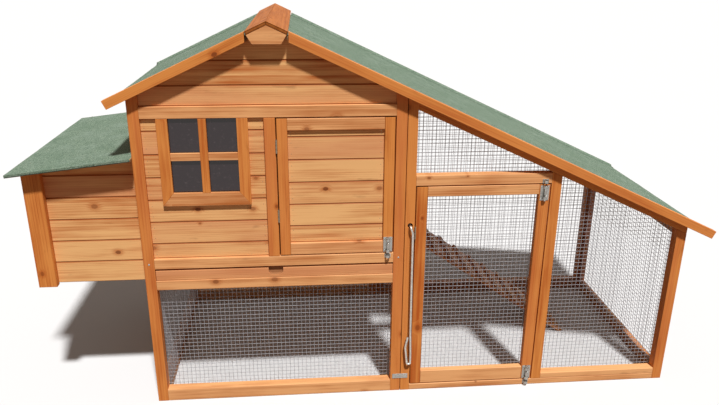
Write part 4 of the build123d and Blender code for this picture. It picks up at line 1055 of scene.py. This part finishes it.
# Waves in the felt: the depth and the speed of each, and how many times as fast they go each way
FELT_WAVES = ((0.00016, 5.0), (0.00010, 11.0), (0.00006, 23.0))
FELT_RUN_TIMES = 3
FELT_CROSS_TIMES = 2
FELT_ROLL = 0.0005
FELT_FRAY = 0.0012
FELT_ROWS = 3
FELT_START = 0.0016
FELT_ANGLE = np.radians(55.0)
ROOF_EDGE = 0.0019
LID_EDGE = 0.0080
ROOF_FELT = 0.0011
LID_FELT = 0.0015
# Lap over the back bargeboard: distance behind the board's front face, and height over its top
LAP_PROFILE = np.array([(-0.0240, -0.0034), (-0.0120, -0.0034), (-0.0040, -0.0026), (-0.0012, -0.0002),
                        (0.0004, 0.0012), (0.0040, 0.0016), (0.0120, 0.0015), (0.0194, 0.0013)])
LAP_WAVE = 0.00008
LAP_WAVES = 60.0
cap_low, cap_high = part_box("ridge_cap")
RIDGE_X = (cap_low[0] + cap_high[0]) / 2


def felt_cover(corner, run, cross, up, depths, seed):
    """A felt sheet as one folded surface: a grid from a corner along its run and cross edges, dipped by a few
    slow sine waves and rolled at its border, which is carried down by rows of points to a ragged edge. Gives
    points, faces and how near each point is to that edge."""
    steps = [int(np.ceil(np.linalg.norm(edge) / FELT_STEP)) + 1 for edge in (run, cross)]
    s, t = np.meshgrid(np.linspace(0, 1, steps[0]), np.linspace(0, 1, steps[1]), indexing="ij")
    chance = np.random.default_rng(seed)
    dip = np.where((s == 0) | (s == 1) | (t == 0) | (t == 1), FELT_ROLL, 0.0)
    for size, fast in FELT_WAVES:
        a, b, c, d = chance.uniform(0, 2 * np.pi, 4)
        run_wave = np.sin(FELT_RUN_TIMES * fast * s + a + np.sin(fast * t + b))
        cross_wave = np.sin(FELT_CROSS_TIMES * fast * t + c + np.sin(fast * s + d))
        dip = dip + size * (2 + run_wave + cross_wave)
    top = (corner + s[..., None] * run + t[..., None] * cross - dip[..., None] * up).reshape(-1, 3)
    index = np.arange(s.size).reshape(s.shape)
    border = np.concatenate([index[:-1, 0], index[-1, :-1], index[:0:-1, -1], index[0, :0:-1]])
    depth = np.repeat(depths, [steps[0] - 1, steps[1] - 1] * 2)
    depth = np.maximum(depth, np.roll(depth, 1)) - chance.uniform(0, FELT_FRAY, len(border))
    share = np.arange(1, FELT_ROWS + 1) / FELT_ROWS
    lower = top[border][None] - (share[:, None] * depth[None])[..., None] * up
    ring = np.concatenate([border[None], s.size + np.arange(FELT_ROWS * len(border)).reshape(FELT_ROWS, -1)])
    after = np.roll(ring, -1, axis=1)
    wall = np.stack([after[:-1], ring[:-1], ring[1:], after[1:]], -1).reshape(-1, 4)
    rim = np.concatenate([np.zeros(s.size), np.repeat(share, len(border))])
    return np.concatenate([top, lower.reshape(-1, 3)]), np.concatenate([grid_faces(index), wall]), rim


def slope_of(node, side, angle):
    """One slope of a solid, falling towards -X or +X: its points, the directions down it and square up from
    it, and where its felt starts and ends on the way down."""
    points = solid_edges(node).reshape(-1, 3)
    points = points[side * (points[:, 0] - RIDGE_X) > 0]
    way = np.array([side * np.cos(angle), 0, -np.sin(angle)])
    up = np.array([side * np.sin(angle), 0, np.cos(angle)])
    return points, way, up, (points @ way).min() + FELT_START, (points @ way).max()


def felt_on(node, side, angle, depths, seed):
    """The felt of one slope, laid under the top of its solid."""
    points, way, up, start, end = slope_of(node, side, angle)
    first, last = (points[:, 1].min(), points[:, 1].max())[::side]
    corner = way * start + up * (points @ up).max() + np.array([0, first, 0])
    return felt_cover(corner, way * (end - start), np.array([0, last - first, 0]), up, depths, seed)


def felt_lap(node, side, angle, seed):
    """The felt's back edge, turned up and laid over a bargeboard: a folded profile carried down the slope,
    with a slow sine wave along it and ragged edges."""
    points, way, up, start, end = slope_of(node, side, angle)
    count = int(np.ceil((end - start) / FELT_STEP)) + 1
    chance = np.random.default_rng(seed)
    y, out = (np.tile(part, (count, 1)) for part in LAP_PROFILE.T)
    y[:, 0] -= chance.uniform(0, FELT_FRAY, count)
    y[:, -1] -= chance.uniform(0, FELT_FRAY, count)
    share = np.linspace(0, 1, count)[:, None]
    out = out - LAP_WAVE * (1 + np.sin(LAP_WAVES * share + chance.uniform(0, 2 * np.pi)))
    along = start + share * (end - start)
    grid = along[..., None] * way + ((points @ up).max() + out)[..., None] * up
    grid[..., 1] = points[:, 1].min() + y
    rim = np.zeros(grid.shape[:2])
    rim[:, -1] = 1.0
    index = np.arange(rim.size).reshape(rim.shape)[:, ::side]
    return grid.reshape(-1, 3), grid_faces(index), rim.ravel()


def felt_piece(name, covers, thick, carrier, *nodes):
    """Felt covers in one mesh, given their thickness inwards. The piece takes its body from the solid that
    carries it."""
    starts = np.cumsum([0] + [len(points) for points, _, _ in covers])
    points = np.concatenate([points for points, _, _ in covers])
    faces = np.concatenate([faces + start for (_, faces, _), start in zip(covers, starts)])
    mesh = new_mesh(name, points, faces)
    hold(mesh, "rim", np.repeat(np.concatenate([rim for _, _, rim in covers]), 3))
    smooth(mesh, FELT_ANGLE)
    piece = show(mesh, body_of(carrier), slot_of(carrier), mineral_felt, *nodes)
    wall = piece.modifiers.new("felt", "SOLIDIFY")
    wall.thickness = thick
    wall.offset = -1.0


SLOPES = (-1, 1)
felt_piece("roof_felt_cover",
           [felt_on("roof_felt", side, ROOF_PITCH, [ROOF_EDGE] * 4, ROOF_FELT_SEED + side)
            for side in SLOPES],
           ROOF_FELT, "roof_felt", "roof_felt")
felt_piece("roof_felt_lap",
           [felt_lap("back_bargeboards", side, ROOF_PITCH, LAP_SEED + side) for side in SLOPES],
           ROOF_FELT, "roof_felt")
felt_piece("nest_lid_felt_cover",
           [felt_on("nest_lid_felt", -1, LID_SLOPE, [LID_EDGE] * 3 + [ROOF_EDGE], LID_FELT_SEED)],
           LID_FELT, "nest_lid_felt", "nest_lid_felt")


# Stage


def by_ray(tree, gathered, seen):
    """One shader for the light that surfaces gather, and another for what the camera and mirrors see."""
    path = tree.nodes.new("ShaderNodeLightPath")
    looks = calc(tree, "MAXIMUM", path.outputs["Is Camera Ray"],
                 calc(tree, "MAXIMUM", path.outputs["Is Glossy Ray"], path.outputs["Is Transmission Ray"]))
    choice = tree.nodes.new("ShaderNodeMixShader")
    tree.links.new(looks, choice.inputs[0])
    tree.links.new(gathered.outputs[0], choice.inputs[1])
    tree.links.new(seen.outputs[0], choice.inputs[2])
    return choice.outputs[0]


def stage_floor():
    """A pale floor: the camera and mirrors see it paler than other light does, and it keeps the shadow."""
    points = np.array([[-1, -1, 0], [1, -1, 0], [1, 1, 0], [-1, 1, 0]]) * FLOOR_HALF - (0, 0, FLOOR_DROP)
    mesh = new_mesh("floor", points, np.array([[0, 1, 2, 3]]))
    floor = add("floor", mesh)
    material = bpy.data.materials.new("pale_floor")
    tree = empty_tree(material)
    gathered = tree.nodes.new("ShaderNodeBsdfDiffuse")
    gathered.inputs["Color"].default_value = FLOOR_GIVEN
    seen = tree.nodes.new("ShaderNodeBsdfDiffuse")
    seen.inputs["Color"].default_value = FLOOR_SEEN
    output = tree.nodes.new("ShaderNodeOutputMaterial")
    tree.links.new(by_ray(tree, gathered, seen), output.inputs["Surface"])
    mesh.materials.append(material)


def studio_light():
    """A key lamp high at the front, a little to the right, and a surround that looks white and fills softly
    with warm light."""
    way = np.array([np.cos(KEY_HEIGHT) * np.sin(KEY_TURN), -np.cos(KEY_HEIGHT) * np.cos(KEY_TURN),
                    np.sin(KEY_HEIGHT)])
    lamp = bpy.data.lights.new("key", "SUN")
    lamp.angle = KEY_SPREAD
    lamp.energy = KEY_STRENGTH
    add("key", lamp).matrix_world = Vector(way).to_track_quat("Z", "Y").to_matrix().to_4x4()
    world = bpy.data.worlds.new("surround")
    bpy.context.scene.world = world
    tree = empty_tree(world)
    fill = tree.nodes.new("ShaderNodeBackground")
    fill.inputs["Color"].default_value = SKY_COLOUR
    fill.inputs["Strength"].default_value = SKY_LIGHT
    white = tree.nodes.new("ShaderNodeBackground")
    white.inputs["Color"].default_value = WHITE
    output = tree.nodes.new("ShaderNodeOutputWorld")
    tree.links.new(by_ray(tree, fill, white), output.inputs["Surface"])


def photo_camera():
    """The photograph's camera: turned right by its yaw, down by its pitch, then rolled about its line of
    sight."""
    ahead = np.array([np.sin(CAMERA_YAW) * np.cos(CAMERA_PITCH), np.cos(CAMERA_YAW) * np.cos(CAMERA_PITCH),
                      -np.sin(CAMERA_PITCH)])
    right = np.array([np.cos(CAMERA_YAW), -np.sin(CAMERA_YAW), 0])
    down = np.cross(ahead, right)
    right_rolled = np.cos(CAMERA_ROLL) * right + np.sin(CAMERA_ROLL) * down
    down_rolled = -np.sin(CAMERA_ROLL) * right + np.cos(CAMERA_ROLL) * down
    turn = Matrix(np.stack([right_rolled, -down_rolled, -ahead], 1).tolist()).to_4x4()
    data = bpy.data.cameras.new("photo_camera")
    data.sensor_width = SENSOR_WIDTH
    data.lens = FOCAL_PIXELS / IMAGE_WIDTH * SENSOR_WIDTH
    data.clip_end = CAMERA_REACH
    camera = add("photo_camera", data)
    camera.matrix_world = Matrix.Translation(CAMERA_PLACE) @ turn
    bpy.context.scene.camera = camera


stage_floor()
studio_light()
photo_camera()
bpy.context.scene.view_settings.view_transform = "Standard"
